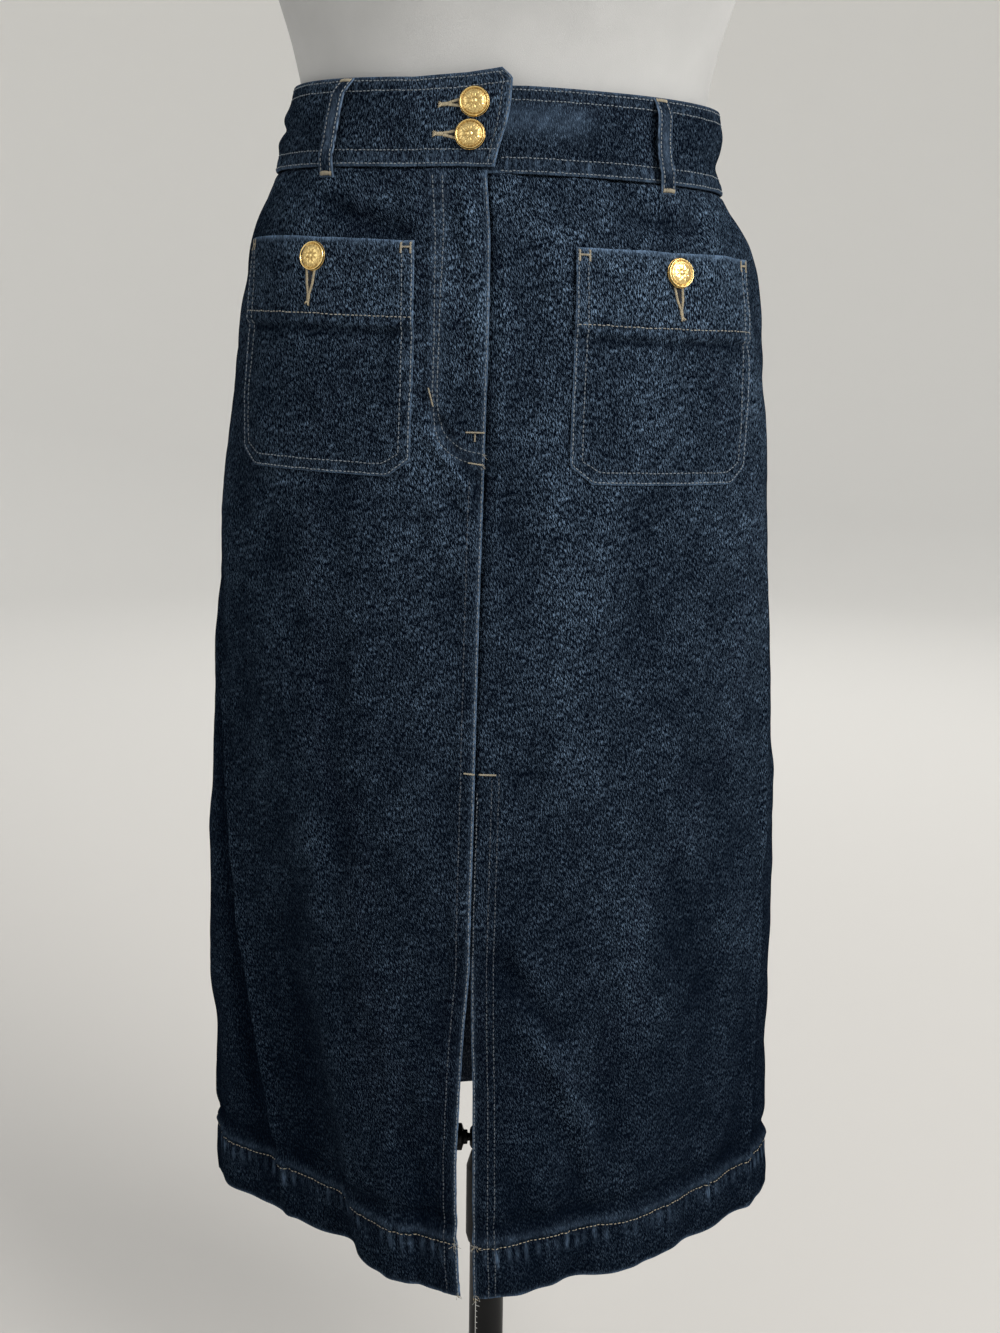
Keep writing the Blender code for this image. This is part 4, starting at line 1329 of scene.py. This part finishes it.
def thread_mesh(name, starts, ends, ups, radius, tan, arch=0.35, seed=1):
    """Short lengths of thread joined in one mesh: each is a six-sided tube over four stations,
    fuller in its middle, arched up a little and closed by two quads at each end. tan runs from
    grey (0) to golden (1), and below 0 the thread is dulled by that much with the cloth's dye."""
    starts, ends, ups = (np.asarray(v, float).reshape(-1, 3) for v in (starts, ends, ups))
    count = len(starts)
    run = ends - starts
    forward = unit(run)
    side = unit(np.cross(forward, ups))
    up = np.cross(side, forward)
    station = np.array([0.0, 0.26, 0.74, 1.0])
    full = np.array([0.50, 1.0, 1.0, 0.50])
    lift = np.array([-0.45, arch, arch, -0.45]) * radius
    turn = np.arange(6) * math.pi / 3
    centre = starts[:, None] + run[:, None] * station[:, None] + up[:, None] * lift[:, None]
    ring = side[:, None, None] * np.cos(turn)[:, None] + up[:, None, None] * np.sin(turn)[:, None]
    points = centre[:, :, None] + ring * (radius * full)[:, None, None]
    index = np.arange(24).reshape(4, 6)
    after = np.roll(index, -1, axis=1)
    sides = np.stack([index[:-1], after[:-1], after[1:], index[1:]], axis=-1).reshape(-1, 4)
    caps = np.array([(3, 2, 1, 0), (5, 4, 3, 0), (18, 19, 20, 21), (18, 21, 22, 23)])
    quads = np.concatenate([sides, caps])[None] + 24 * np.arange(count)[:, None, None]
    random = np.random.default_rng(seed)
    tan = np.broadcast_to(np.asarray(tan, float), count)
    shade = random.uniform(0.0, 0.42, count) ** 1.2 - np.minimum(tan, 0)
    shade = np.repeat(np.clip(shade, 0, 1), 24)
    tan = np.repeat(np.maximum(tan, 0), 24)
    return new_mesh(name, points, quads, THREADS, {"shade": shade, "tan": tan})


def surface_normals(skin, u, v, small=3e-4):
    """Outward normals of a surface given as a function of two numbers."""
    across = skin(u + small, v) - skin(u - small, v)
    rise = skin(u, v + small) - skin(u, v - small)
    return unit(np.cross(across, rise))


def resample(path, pitch):
    """Evenly spaced places along a path of straight stretches."""
    path = np.asarray(path, float)
    lengths = np.concatenate([[0.0], np.cumsum(np.hypot(*np.diff(path, axis=0).T))])
    count = max(2, int(round(lengths[-1] / pitch)) + 1)
    at = np.linspace(0, lengths[-1], count)
    return np.interp(at, lengths, path[:, 0]), np.interp(at, lengths, path[:, 1])


def stitches_on(skin, path, pitch=STITCH, gap=0.24, seed=3):
    """Starts, ends and normals of a row of stitches that lies on a surface."""
    u, v = resample(path, pitch)
    random = np.random.default_rng(seed + len(u))
    start_share = gap / 2 + random.uniform(-0.05, 0.05, len(u) - 1)
    end_share = 1 - gap / 2 + random.uniform(-0.05, 0.05, len(u) - 1)
    slip = random.normal(0, 0.00012, (2, len(u) - 1))
    du, dv = np.diff(u), np.diff(v)
    first = u[:-1] + du * start_share + slip[0], v[:-1] + dv * start_share + slip[1]
    last = u[:-1] + du * end_share + slip[0], v[:-1] + dv * end_share + slip[1]
    ups = surface_normals(skin, (first[0] + last[0]) / 2, (first[1] + last[1]) / 2)
    return skin(*first), skin(*last), ups


def sew(name, rows, radius=THREAD, seed=1):
    """One object of several rows, each (skin, path, tan)."""
    parts = [stitches_on(skin, path, seed=seed + 5 * i) for i, (skin, path, _) in enumerate(rows)]
    tans = np.concatenate([np.full(len(part[0]), row[2]) for part, row in zip(parts, rows)])
    starts, ends, ups = (np.concatenate([part[i] for part in parts]) for i in range(3))
    return thread_mesh(name, starts, ends, ups, radius, tans, seed=seed)


def satin(skin, start, end, width, pitch=0.00046, slant=0.15, seed=11):
    """Close parallel threads laid across a short line on a surface, as in a bar tack."""
    start, end = np.asarray(start, float), np.asarray(end, float)
    run = end - start
    length = math.hypot(*run)
    across = np.array([-run[1], run[0]]) / length
    count = max(3, int(length / pitch))
    random = np.random.default_rng(seed)
    share = (np.arange(count) + 0.5) / count
    half = width / 2 * (1 + random.uniform(-0.12, 0.12, count))
    lean = run / length * width * slant
    middle = start + run * share[:, None]
    a = middle - across * half[:, None] - lean / 2
    b = middle + across * half[:, None] + lean / 2
    ups = surface_normals(skin, middle[:, 0], middle[:, 1])
    lift = ups * 0.00022
    return skin(a[:, 0], a[:, 1]) + lift, skin(b[:, 0], b[:, 1]) + lift, ups


def join_threads(name, parts, radius, tan, seed):
    """One object of several worked lines of thread."""
    starts, ends, ups = (np.concatenate([part[i] for part in parts]) for i in range(3))
    return thread_mesh(name, starts, ends, ups, radius, tan, arch=0.5, seed=seed)


def right_skin(along, height):
    """The right front's face."""
    return drape(along, height, right_out(along, height))


def left_skin(along, height):
    """The left front's face."""
    return drape(along, height, left_out(along, height))


def pocket_skin(start):
    """A pocket's face."""
    out_of = pocket_out(start)
    return lambda along, height: drape(along, height, out_of(along, height))


def tab_skin(along, up):
    """The band, by metres along and metres up from its lower edge."""
    return on_band(along / BAND_REACH, up / BAND_WIDTH)


def tab_height_skin(along, height):
    """The tab, by metres along and height above the hem."""
    return tab_skin(along, height - TAB_LEVEL)


def loop_skin(degrees):
    """A belt loop, by metres across and metres up it."""
    return lambda across, up: loop_place(degrees, across / (LOOP_WIDTH / 2), up / LOOP_LENGTH)


def level_path(start, end, height, count):
    """A path at one height."""
    along = np.linspace(start, end, count)
    return np.stack([along, np.full(count, height)], axis=1)


def sew_skirt():
    """The skirt's topstitching: fly, centre seam, slit facings, hem, pockets, band and loops."""
    edge, inner, near_slit, far_from_slit = SEAM_ROWS
    front = [(right_skin, path, -0.35) for path in FLY_PATHS]
    front += [(right_skin, edge, -0.30), (right_skin, inner, -0.72)]
    front += [(left_skin, near_slit, -0.66), (left_skin, far_from_slit, -0.66)]
    front += [(left_skin, EDGE_ROW_LEFT, -0.35)]
    right_end, left_end = front_edge(1, HEM_STITCH), front_edge(2, HEM_STITCH)
    right_seam = float(RIGHT_SEAM(np.array(HEM_STITCH)))
    left_seam = float(LEFT_SEAM(np.array(HEM_STITCH)))
    girth = float(along_of(np.array(2 * math.pi), np.array(HEM_STITCH)))
    hem = [
        (right_skin, level_path(right_seam, right_end - 0.001, HEM_STITCH, 200), 0.45),
        (left_skin, level_path(left_end + 0.001, left_seam, HEM_STITCH, 200), 0.45),
        (drape, level_path(left_seam, girth + right_seam, HEM_STITCH, 300), 0.45),
    ]
    pieces = [sew("stitches_front", front, seed=21)]
    pieces.append(sew("stitches_hem", hem, radius=0.00033, seed=31))
    for name, start in POCKETS.items():
        rows = [(pocket_skin(start), *row) for row in zip(pocket_rows(start), (-0.10, -0.25, 0.28))]
        pieces.append(sew("stitches_" + name, rows, seed=41))
    round_band = np.linspace(math.radians(1.0), math.radians(-359.5), 400) * BAND_REACH
    heights = [*BAND_ROWS["low"], *(BAND_WIDTH - inset for inset in BAND_ROWS["high"])]
    band = [(tab_skin, np.stack([round_band, np.full(400, up)], axis=1), -0.15) for up in heights]
    for inset in (0.0018, 0.0078):
        along = BAND_FIRST * BAND_REACH - inset
        band.append((tab_skin, [(along, 0.0016), (along, 0.0530)], -0.45))
    pieces.append(sew("stitches_waistband", band, seed=51))
    loops = []
    for degrees in LOOP_ANGLES.values():
        for across in (-0.0034, 0.0034):
            loops.append((loop_skin(degrees), [(across, 0.003), (across, 0.060)], 0.08))
    pieces.append(sew("stitches_belt_loops", loops, radius=0.00032, seed=61))
    return pieces


def sew_bar_tacks():
    """Dense golden tacks at the fly, the slit, the pocket corners and the belt loops' ends."""
    lines = [
        # skin, from, to, width
        (right_skin, (-0.0444, 0.6112), (-0.0415, 0.6003), 0.0010),
        (right_skin, (-0.0205, 0.5850), (-0.0085, 0.5852), 0.0011),
        (right_skin, (-0.0146, 0.5840), (-0.0146, 0.5795), 0.0010),
        (right_skin, (-0.0185, 0.5662), (-0.0085, 0.5650), 0.0010),
        (right_skin, (-0.0164, SLIT_TOP + 0.0006), (-0.0094, SLIT_TOP), 0.0013),
        (left_skin, (-0.0066, SLIT_TOP), (0.0043, SLIT_TOP - 0.0002), 0.0013),
    ]
    for start in POCKETS.values():
        skin = pocket_skin(start)
        level, top, bottom = (POCKET_TOP - down for down in (0.0045, 0.0015, 0.0085))
        for left in (start + 0.0022, start + POCKET_WIDTH - 0.0085):
            lines.append((skin, (left, level), (left + 0.0063, level), 0.0013))
            for side in (left, left + 0.0063):
                lines.append((skin, (side, top), (side, bottom), 0.0013))
    for degrees in LOOP_ANGLES.values():
        for up in (0.0022, 0.0610):
            lines.append((loop_skin(degrees), (-0.0042, up), (0.0042, up), 0.0024))
    return join_threads("bar_tacks", [satin(*line) for line in lines], 0.00028, 0.50, seed=71)


def make_buttonhole(name, near, far):
    """A worked buttonhole: two lines of satin stitches that close to a tack at the far end, with
    splayed thread ends beyond it, over a dark slit of painted shadow."""
    pocket = name.removeprefix("buttonhole_")
    skin = pocket_skin(POCKETS[pocket]) if pocket in POCKETS else tab_height_skin
    near, far = np.array(near), np.array(far)
    run = far - near
    length = math.hypot(*run)
    forward = run / length
    across = np.array([-forward[1], forward[0]])
    parts = []
    tack_from = far - forward * 0.0058
    for side in (-1, 1):
        start = near + across * side * 0.0026
        middle = near + run * 0.45 + across * side * 0.0019
        end = tack_from + across * side * 0.0006
        parts.append(satin(skin, start, middle, 0.0017, slant=0.5 * side, seed=5))
        parts.append(satin(skin, middle, end, 0.0017, slant=0.5 * side, seed=6))
    parts.append(satin(skin, tack_from, far, 0.0024, slant=0.1, seed=9))
    random = np.random.default_rng(len(name))
    spread = np.radians(random.uniform(-75, 75, 9))
    reach = random.uniform(0.0014, 0.0032, 9)
    onward, sideways = (f(spread) * reach for f in (np.cos, np.sin))
    tips = far + onward[:, None] * forward + sideways[:, None] * across
    roots = far - forward * 0.0006 + across * random.uniform(-0.0006, 0.0006, 9)[:, None]
    ups = surface_normals(skin, *roots.T)
    lift = random.uniform(0.0002, 0.0014, 9)[:, None]
    parts.append((skin(*roots.T) + ups * 0.0004, skin(*tips.T) + ups * lift, ups))
    worked = join_threads(name, parts, 0.00027, 0.60, seed=81)
    return worked, make_slit(name + "_slit", skin, near, tack_from)


def make_slit(name, skin, near, far):
    """The opening between a buttonhole's stitches as painted shadow: a narrow dark lens just above
    the cloth.
    """
    share = np.linspace(0, 1, 14)[:, None]
    side = np.linspace(-1, 1, 5)[None, :]
    run = far - near
    across = np.array([-run[1], run[0]]) / math.hypot(*run)
    half = 0.0011 * (1 - share * 0.85)
    place = near + run * share[..., None] + across * (half * side)[..., None]
    ups = surface_normals(skin, place[..., 0], place[..., 1])
    outer = skin(place[..., 0], place[..., 1]) + ups * 0.00012
    inner = outer - ups * 0.0004
    facing = np.cross(outer[1, 0] - outer[0, 0], outer[0, 1] - outer[0, 0]) @ ups[0, 0]
    if facing < 0:
        outer, inner, place = outer[:, ::-1], inner[:, ::-1], place[:, ::-1]
    return make_wall(name, outer, inner, place, np.zeros(outer.shape[:2]), SLIT_SHADOW)


def make_loose_threads():
    """Frayed ends: short curling threads at the slit's lower corners and at the tacks."""
    random = np.random.default_rng(91)
    ends = [
        # skin, along, height, how many, length
        (right_skin, front_edge(1, 0.040) - 0.0012, 0.0385, 7, 0.0060),
        (left_skin, front_edge(2, 0.040) + 0.0030, 0.0390, 6, 0.0055),
        (left_skin, front_edge(2, 0.001) + 0.0010, 0.0020, 6, 0.0050),
        (right_skin, front_edge(1, 0.001) - 0.0012, 0.0020, 5, 0.0040),
        (right_skin, -0.0085, 0.5715, 3, 0.0030),
        (right_skin, -0.0085, 0.5648, 3, 0.0030),
    ]
    parts = []
    for skin, along, height, count, length in ends:
        a = along + random.uniform(-0.0010, 0.0010, count)
        h = height + random.uniform(-0.0015, 0.0015, count)
        normal = surface_normals(skin, a, h)
        point = skin(a, h) + normal * 0.0003
        limits = ((-0.8, 0.8), (-0.7, -0.1), (-1.3, 0.3))
        heading = np.stack([random.uniform(low, high, count) for low, high in limits], axis=1)
        bend = random.normal(0, 0.55, (count, 3))
        for step in range(3):
            following = point + unit(heading) * length / 3
            parts.append((point, following, normal, np.full(count, 0.15 + 0.5 * (step % 2))))
            point = following
            heading = unit(heading) + bend * 0.6
    starts, finishes, ups, tans = (np.concatenate(part) for part in zip(*parts))
    return thread_mesh("loose_threads", starts, finishes, ups, 0.00016, tans, arch=0.0, seed=92)


# ---------------------------------------------------------------- buttons


def button_height(r, turn):
    """A button's face, and the relief alone: a domed field, a rolled rim, a beaded ring inside it,
    and a generic flower of eight petals with a bossed middle, all as ridges added together."""
    dome = 0.0042 - 0.0016 * r**2
    rim = 0.00075 * bell(r, 0.92, 0.045) - 0.00035 * bell(r, 0.82, 0.035)
    beads = 0.00016 * bell(r, 0.745, 0.035) * (0.5 + 0.5 * np.cos(36 * turn))
    petal = np.cos(4 * turn) ** 2
    petals = 0.00042 * petal * bell(r, 0.44, 0.17)
    leaves = 0.00030 * (np.cos(4 * turn + math.pi / 2) ** 8) * bell(r, 0.56, 0.10)
    veins = -0.00022 * petal**6 * bell(r, 0.44, 0.12)
    boss = 0.00045 * bell(r, 0, 0.14) - 0.00018 * bell(r, 0.20, 0.04)
    drop = -0.0014 * smooth_step((r - 0.95) / 0.05)
    relief = rim + beads + petals + leaves + veins + boss
    return dome + relief + drop, relief


def make_button(name, along, height, under):
    """A domed shank button with an embossed face, standing square on the cloth."""
    sides = 144
    r = np.concatenate([[0.0], np.linspace(0.03, 1.0, 46)])[:, None]
    turn = np.linspace(0, 2 * math.pi, sides, endpoint=False)[None, :]
    z, relief = button_height(r, turn)
    hollow = np.clip(1 - relief / 0.00028, 0, 1) * smooth_step((r - 0.05) / 0.1) * (r < 0.86)
    back = np.array([(1.0, 0.0021), (0.93, 0.0014), (0.30, 0.0014), (0.26, 0.0004), (0.0, 0.0004)])
    r = np.concatenate([r, back[:, :1]])
    z = np.concatenate([z, np.repeat(back[:, 1:], sides, axis=1)])
    hollow = np.concatenate([hollow, np.ones((len(back), sides))])
    x, y = (r * f(turn) * BUTTON_RADIUS for f in (np.cos, np.sin))
    local = np.stack([x, y, z], axis=-1)
    angle = angle_of(along, height)
    normal = Vector(outward(angle, height))
    turned = np.array(normal.to_track_quat("Z", "Y").to_matrix())
    centre = cloth(angle, height, under)
    points = local.reshape(-1, 3) @ turned.T + centre
    quads = grid_quads(len(local), sides, wrap=True)
    return tidy_mesh(new_mesh("gold_" + name, points, quads, GOLD, {"hollow": hollow}))


def tidy_mesh(thing, turn_outwards=True):
    """Merges doubled points, as at a pole, and turns every face outwards."""
    body = bmesh.new()
    body.from_mesh(thing.data)
    bmesh.ops.remove_doubles(body, verts=body.verts, dist=1e-6)
    if turn_outwards:
        bmesh.ops.recalc_face_normals(body, faces=body.faces)
    body.to_mesh(thing.data)
    body.free()
    return thing


# ---------------------------------------------------------------- form and stand


def make_torso():
    """The form's body: a smooth oval ring at each height, closed at the seat and the neck."""
    heights = np.concatenate([np.linspace(0.430, 0.460, 12), np.linspace(0.466, 1.310, 130)])
    heights = heights[::-1, None]
    turn = np.linspace(0, 2 * math.pi, 128, endpoint=False)[None, :]
    half_width, front, back, square = (smooth_column(TORSO, c, heights) for c in (1, 2, 3, 4))
    radius = oval_radius(turn, half_width, front, back, square, square)
    x = TORSO_SIDEWAYS + radius * np.sin(turn)
    points = np.stack([x, -radius * np.cos(turn), HEM_LEVEL + heights + 0 * x], axis=-1)
    caps = []
    for ring in (points[0], points[-1]):
        middle = ring.mean(axis=0)
        caps.append(np.stack([middle + (ring - middle) * share for share in (0.0, 0.4, 0.8, 0.96)]))
    points = np.concatenate([caps[0], points, caps[1][::-1]])
    return tidy_mesh(new_mesh("form_body", points, grid_quads(len(points), 128, wrap=True), JERSEY))


def turn_round(profile, sides):
    """Rings of points: a profile of (radius, height) turned round Z."""
    turn = np.linspace(0, 2 * math.pi, sides, endpoint=False)
    radius, height = profile[:, :1], np.repeat(profile[:, 1:], sides, axis=1)
    return np.stack([radius * np.cos(turn), radius * np.sin(turn), height], axis=-1)


def turned_points(profile, sides, corner=0.0006):
    """A profile of (radius, height) with its corners rounded, turned round Z."""
    profile = np.asarray(profile, float)
    rounded = [profile[:1]]
    t = np.linspace(0, 1, 5)[:, None]
    for before, at, after in zip(profile[:-2], profile[1:-1], profile[2:]):
        back, on = before - at, after - at
        reach = min(corner, 0.45 * math.hypot(*back), 0.45 * math.hypot(*on))
        start, end = at + back / math.hypot(*back) * reach, at + on / math.hypot(*on) * reach
        rounded.append((1 - t) ** 2 * start + 2 * t * (1 - t) * at + t * t * end)
    return turn_round(np.concatenate([*rounded, profile[-1:]]), sides)


def make_turned(name, profile, material, sides=96, corner=0.0006):
    points = turned_points(profile, sides, corner)
    return tidy_mesh(new_mesh(name, points, grid_quads(len(points), sides, wrap=True), material))


def make_stand():
    """Pole, column, collar with its clamp, and the round base, each a rounded turned shape."""
    pole_low, pole_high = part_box("upper_pole")[0].z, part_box("upper_pole")[1].z
    column_low, column_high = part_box("lower_column")[0].z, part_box("lower_column")[1].z
    base_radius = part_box("stand_base")[1].x
    hem = HEM_LEVEL
    pole = make_turned(
        "pole",
        [(0, pole_low), (POLE_RADIUS, pole_low), (POLE_RADIUS, pole_high), (0, pole_high)],
        BLACK_GLOSS,
    )
    column = make_turned(
        "column",
        [
            (COLUMN_BORE, (column_low + column_high) / 2),
            (COLUMN_BORE, column_low),
            (COLUMN_RADIUS, column_low),
            (COLUMN_RADIUS, column_high),
            (COLUMN_BORE, column_high),
            (COLUMN_BORE, (column_low + column_high) / 2),
        ],
        BLACK_GLOSS,
    )
    bore, sleeve, step = POLE_RADIUS + 0.0003, COLUMN_RADIUS + LAYER_GAP, column_high + LAYER_GAP
    collar = make_turned(
        "column_collar",
        [
            (sleeve, hem - 0.040),
            (sleeve, hem - 0.053),
            (COLLAR_RADIUS - 0.0015, hem - 0.053),
            (COLLAR_RADIUS, hem - 0.047),
            (COLLAR_RADIUS, hem + 0.010),
            (CLAMP_NECK + 0.0015, hem + 0.021),
            (CLAMP_NECK, hem + 0.0225),
            (CLAMP_NECK, hem + 0.0265),
            (CLAMP_RADIUS, hem + 0.0280),
            (CLAMP_RADIUS, hem + 0.0400),
            (CLAMP_RADIUS - 0.0015, hem + 0.0415),
            (bore, hem + 0.0415),
            (bore, step),
            (sleeve, step),
            (sleeve, hem - 0.040),
        ],
        BLACK_PLASTIC,
    )
    base = make_turned(
        "round_base",
        [
            (0, 0),
            (base_radius - 0.002, 0),
            (base_radius, 0.002),
            (base_radius, 0.0085),
            (base_radius - 0.004, 0.012),
            (0.060, 0.0132),
            (0.034, 0.015),
            (0.031, 0.038),
            (0.020, 0.050),
            (0, 0.050),
        ],
        BLACK_GLOSS,
        sides=160,
        corner=0.0025,
    )
    scale = make_scale(column_low + 0.02, column_high - 0.006)
    return [
        # piece, body, the node it replaces
        (pole, "form", "upper_pole"),
        (column, "stand", "lower_column"),
        (collar, "stand", "collar"),
        (base, "stand", "stand_base"),
        (scale, "stand", None),
    ]


def make_scale(low, high):
    """A thin white line up the column's front with a tick every 5 mm, longer every 25 mm."""
    levels = np.arange(math.ceil(low / 0.005), math.floor(high / 0.005) + 1) * 0.005
    boxes = [(-0.0086, low, -0.0080, high)]
    for level in levels:
        reach = 0.0052 if round(level / 0.005) % 5 == 0 else 0.0068
        boxes.append((-0.0080, level - 0.0003, -reach, level + 0.0003))
    points, quads = [], []
    for left, bottom, right, top in boxes:
        x, z = np.meshgrid(np.linspace(left, right, 4), [top, bottom])
        for radius in (COLUMN_RADIUS + 0.0001, COLUMN_RADIUS - 0.0003):
            points.append(np.stack([x, -np.sqrt(radius**2 - x**2), z], axis=-1).reshape(-1, 3))
        first = 16 * (len(points) // 2 - 1)
        front = grid_quads(2, 4, first)
        rim = first + np.array([0, 1, 2, 3, 7, 6, 5, 4])
        following = np.roll(rim, -1)
        edge = np.stack([rim, following, following + 8, rim + 8], axis=-1)
        quads.append(np.concatenate([front, front[:, ::-1] + 8, edge]))
    return new_mesh("height_scale", np.concatenate(points), np.concatenate(quads), WHITE_INK)


def make_knob():
    """The clamp's lobed knob on its screw, along -X: a profile turned with six soft lobes."""
    neck = CLAMP_RADIUS + 0.0016
    profile = [
        (0.0, POLE_RADIUS + 0.0006),
        (0.0030, POLE_RADIUS + 0.0006),
        (0.0030, neck),
        (0.0055, neck),
        (0.0055, neck + 0.003),
        (KNOB_RADIUS, neck + 0.0045),
        (KNOB_RADIUS, neck + 0.0120),
        (KNOB_RADIUS * 0.84, neck + 0.0140),
        (0.0, neck + 0.0140),
    ]
    points = turned_points(profile, 90, 0.0009)
    x, y, out = points[..., 0], points[..., 1], points[..., 2]
    turn = np.arctan2(y, x)
    lobes = 1 + 0.07 * np.cos(6 * turn) * smooth_step((np.hypot(x, y) - 0.0055) / 0.003)
    placed = np.stack([-out, y * lobes, KNOB_LEVEL + x * lobes], axis=-1)
    quads = grid_quads(len(points), 90, wrap=True)
    return tidy_mesh(new_mesh("knob", placed, quads, BLACK_PLASTIC))


def make_neck_cap():
    """The neck's turned cap and finial."""
    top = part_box("neck_cap")[0].z
    profile = [
        (0.0, top),
        (0.050, top),
        (0.053, top + 0.004),
        (0.050, top + 0.012),
        (0.034, top + 0.020),
        (0.012, top + 0.024),
        (0.009, top + 0.030),
        (0.014, top + 0.038),
        (0.010, top + 0.046),
        (0.0, top + 0.049),
    ]
    return make_turned("finial_cap", profile, BLACK_PLASTIC, corner=0.004)


# ---------------------------------------------------------------- putting it together


def dress(piece, body, material_slot, *nodes):
    """Puts a piece on its body, in place of the nodes that it replaces. material_slot is not used."""
    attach(piece, body)
    if nodes:
        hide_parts(*nodes)
    return piece


def build_skirt():
    """The cut pieces first, then what is sewn on them."""
    front_right = dress(make_front_right(), "form", "denim", "front_right_panel")
    front_left = dress(make_front_left(), "form", "denim", "front_left_panel")
    back = dress(make_back(), "form", "denim", "back_panel")
    band = dress(make_waistband(), "form", "denim", "waistband")
    stitching = {piece.name: dress(piece, "form", "denim") for piece in sew_skirt()}
    tacks = dress(sew_bar_tacks(), "form", "denim")
    threads = dress(make_loose_threads(), "form", "denim")
    for name, (near, far) in BUTTONHOLES.items():
        [dress(piece, "form", "denim") for piece in make_buttonhole(name, near, far)]
    for name, start in POCKETS.items():
        pocket = dress(make_pocket(name, start), "form", "denim", name)
    for number, (name, degrees) in enumerate(LOOP_ANGLES.items()):
        loop = dress(make_belt_loop(name, degrees), "form", "denim", name)
    for name, (along, height, under) in BUTTONS.items():
        dress(make_button(name, along, height, under), "form", "gold_button", name)


def build_form_and_stand():
    dress(make_torso(), "form", "form_cover", "torso")
    dress(make_neck_cap(), "form", "black_plastic", "neck_cap")
    for piece, body, node in make_stand():
        dress(piece, body, "black_steel", *([node] if node else []))
    dress(make_knob(), "knob", "black_plastic", "clamp_knob")


def build_studio():
    """A pale round floor that curves up far away into a low wall, and large soft lights."""
    bend = np.radians(np.linspace(0, 90, 14))
    curve = np.stack([4.5 + 2.5 * np.sin(bend), 2.5 - 2.5 * np.cos(bend)], axis=1)
    points = turn_round(np.concatenate([[(0.0, 0.0)], curve, [(7.0, 7.0)]]), 96)
    pale, tree, shader = new_material("studio floor", roughness=0.95, Specular_IOR_Level=0.0)
    place = add(tree, "ShaderNodeTexCoord").outputs["Object"]
    away = add(tree, "ShaderNodeVectorMath", {0: place}, operation="LENGTH").outputs["Value"]
    tones = (0.56, 0.545, 0.52, 1), (0.82, 0.81, 0.78, 1)
    tone = blend_colours(tree, ramp(tree, away, 0.4, 5.5), *tones)
    tree.links.new(tone, shader.inputs["Base Color"])
    studio = new_mesh("studio_floor", points, grid_quads(len(points), 96, wrap=True)[:, ::-1], pale)
    tidy_mesh(studio, turn_outwards=False)
    lights = [
        # name, place, width, watts, colour
        ("key", (2.5, -2.3, 2.7), 2.2, 150.0, (1.0, 0.985, 0.96)),
        ("fill", (-2.6, -2.2, 1.9), 2.4, 18.0, (0.97, 0.985, 1.0)),
        ("back", (0.6, 2.9, 3.2), 2.4, 60.0, (1.0, 0.99, 0.97)),
    ]
    for name, place, width, watts, colour in lights:
        lamp = bpy.data.lights.new(name, "AREA")
        lamp.shape = "DISK"
        lamp.size = width
        lamp.energy = watts
        lamp.color = colour
        thing = bpy.data.objects.new(name, lamp)
        thing.location = place
        towards = Vector((0, 0, 0.75)) - Vector(place)
        thing.rotation_euler = towards.to_track_quat("-Z", "Y").to_euler()
        thing.visible_camera = False
        bpy.context.scene.collection.objects.link(thing)
    world = bpy.data.worlds.new("studio")
    world.use_nodes = True
    background = world.node_tree.nodes["Background"]
    background.inputs["Color"].default_value = (0.96, 0.97, 1.0, 1)
    background.inputs["Strength"].default_value = 0.60
    bpy.context.scene.world = world
    bpy.context.scene.view_settings.view_transform = "Standard"


def place_camera():
    """Just left of the middle, a little above the waist's level, tilted down and rolled a hair."""
    tilt, roll = math.radians(12.07), math.radians(0.8)
    forward = Vector((0, math.cos(tilt), -math.sin(tilt)))
    level_up = Vector((0, math.sin(tilt), math.cos(tilt)))
    right = Vector((1, 0, 0))
    up = level_up * math.cos(roll) - right * math.sin(roll)
    across = right * math.cos(roll) + level_up * math.sin(roll)
    lens = bpy.data.cameras.new("camera")
    lens.lens = 43.2
    lens.sensor_width = 36.0
    camera = bpy.data.objects.new("camera", lens)
    matrix = camera.matrix_world.to_3x3()
    for column, axis in enumerate((across, up, -forward)):
        for row in range(3):
            matrix[row][column] = axis[row]
    camera.matrix_world = matrix.to_4x4()
    camera.location = (0.004, -1.140, HEM_LEVEL + 0.652)
    bpy.context.scene.collection.objects.link(camera)
    bpy.context.scene.camera = camera


place_camera()
build_skirt()
build_form_and_stand()
build_studio()
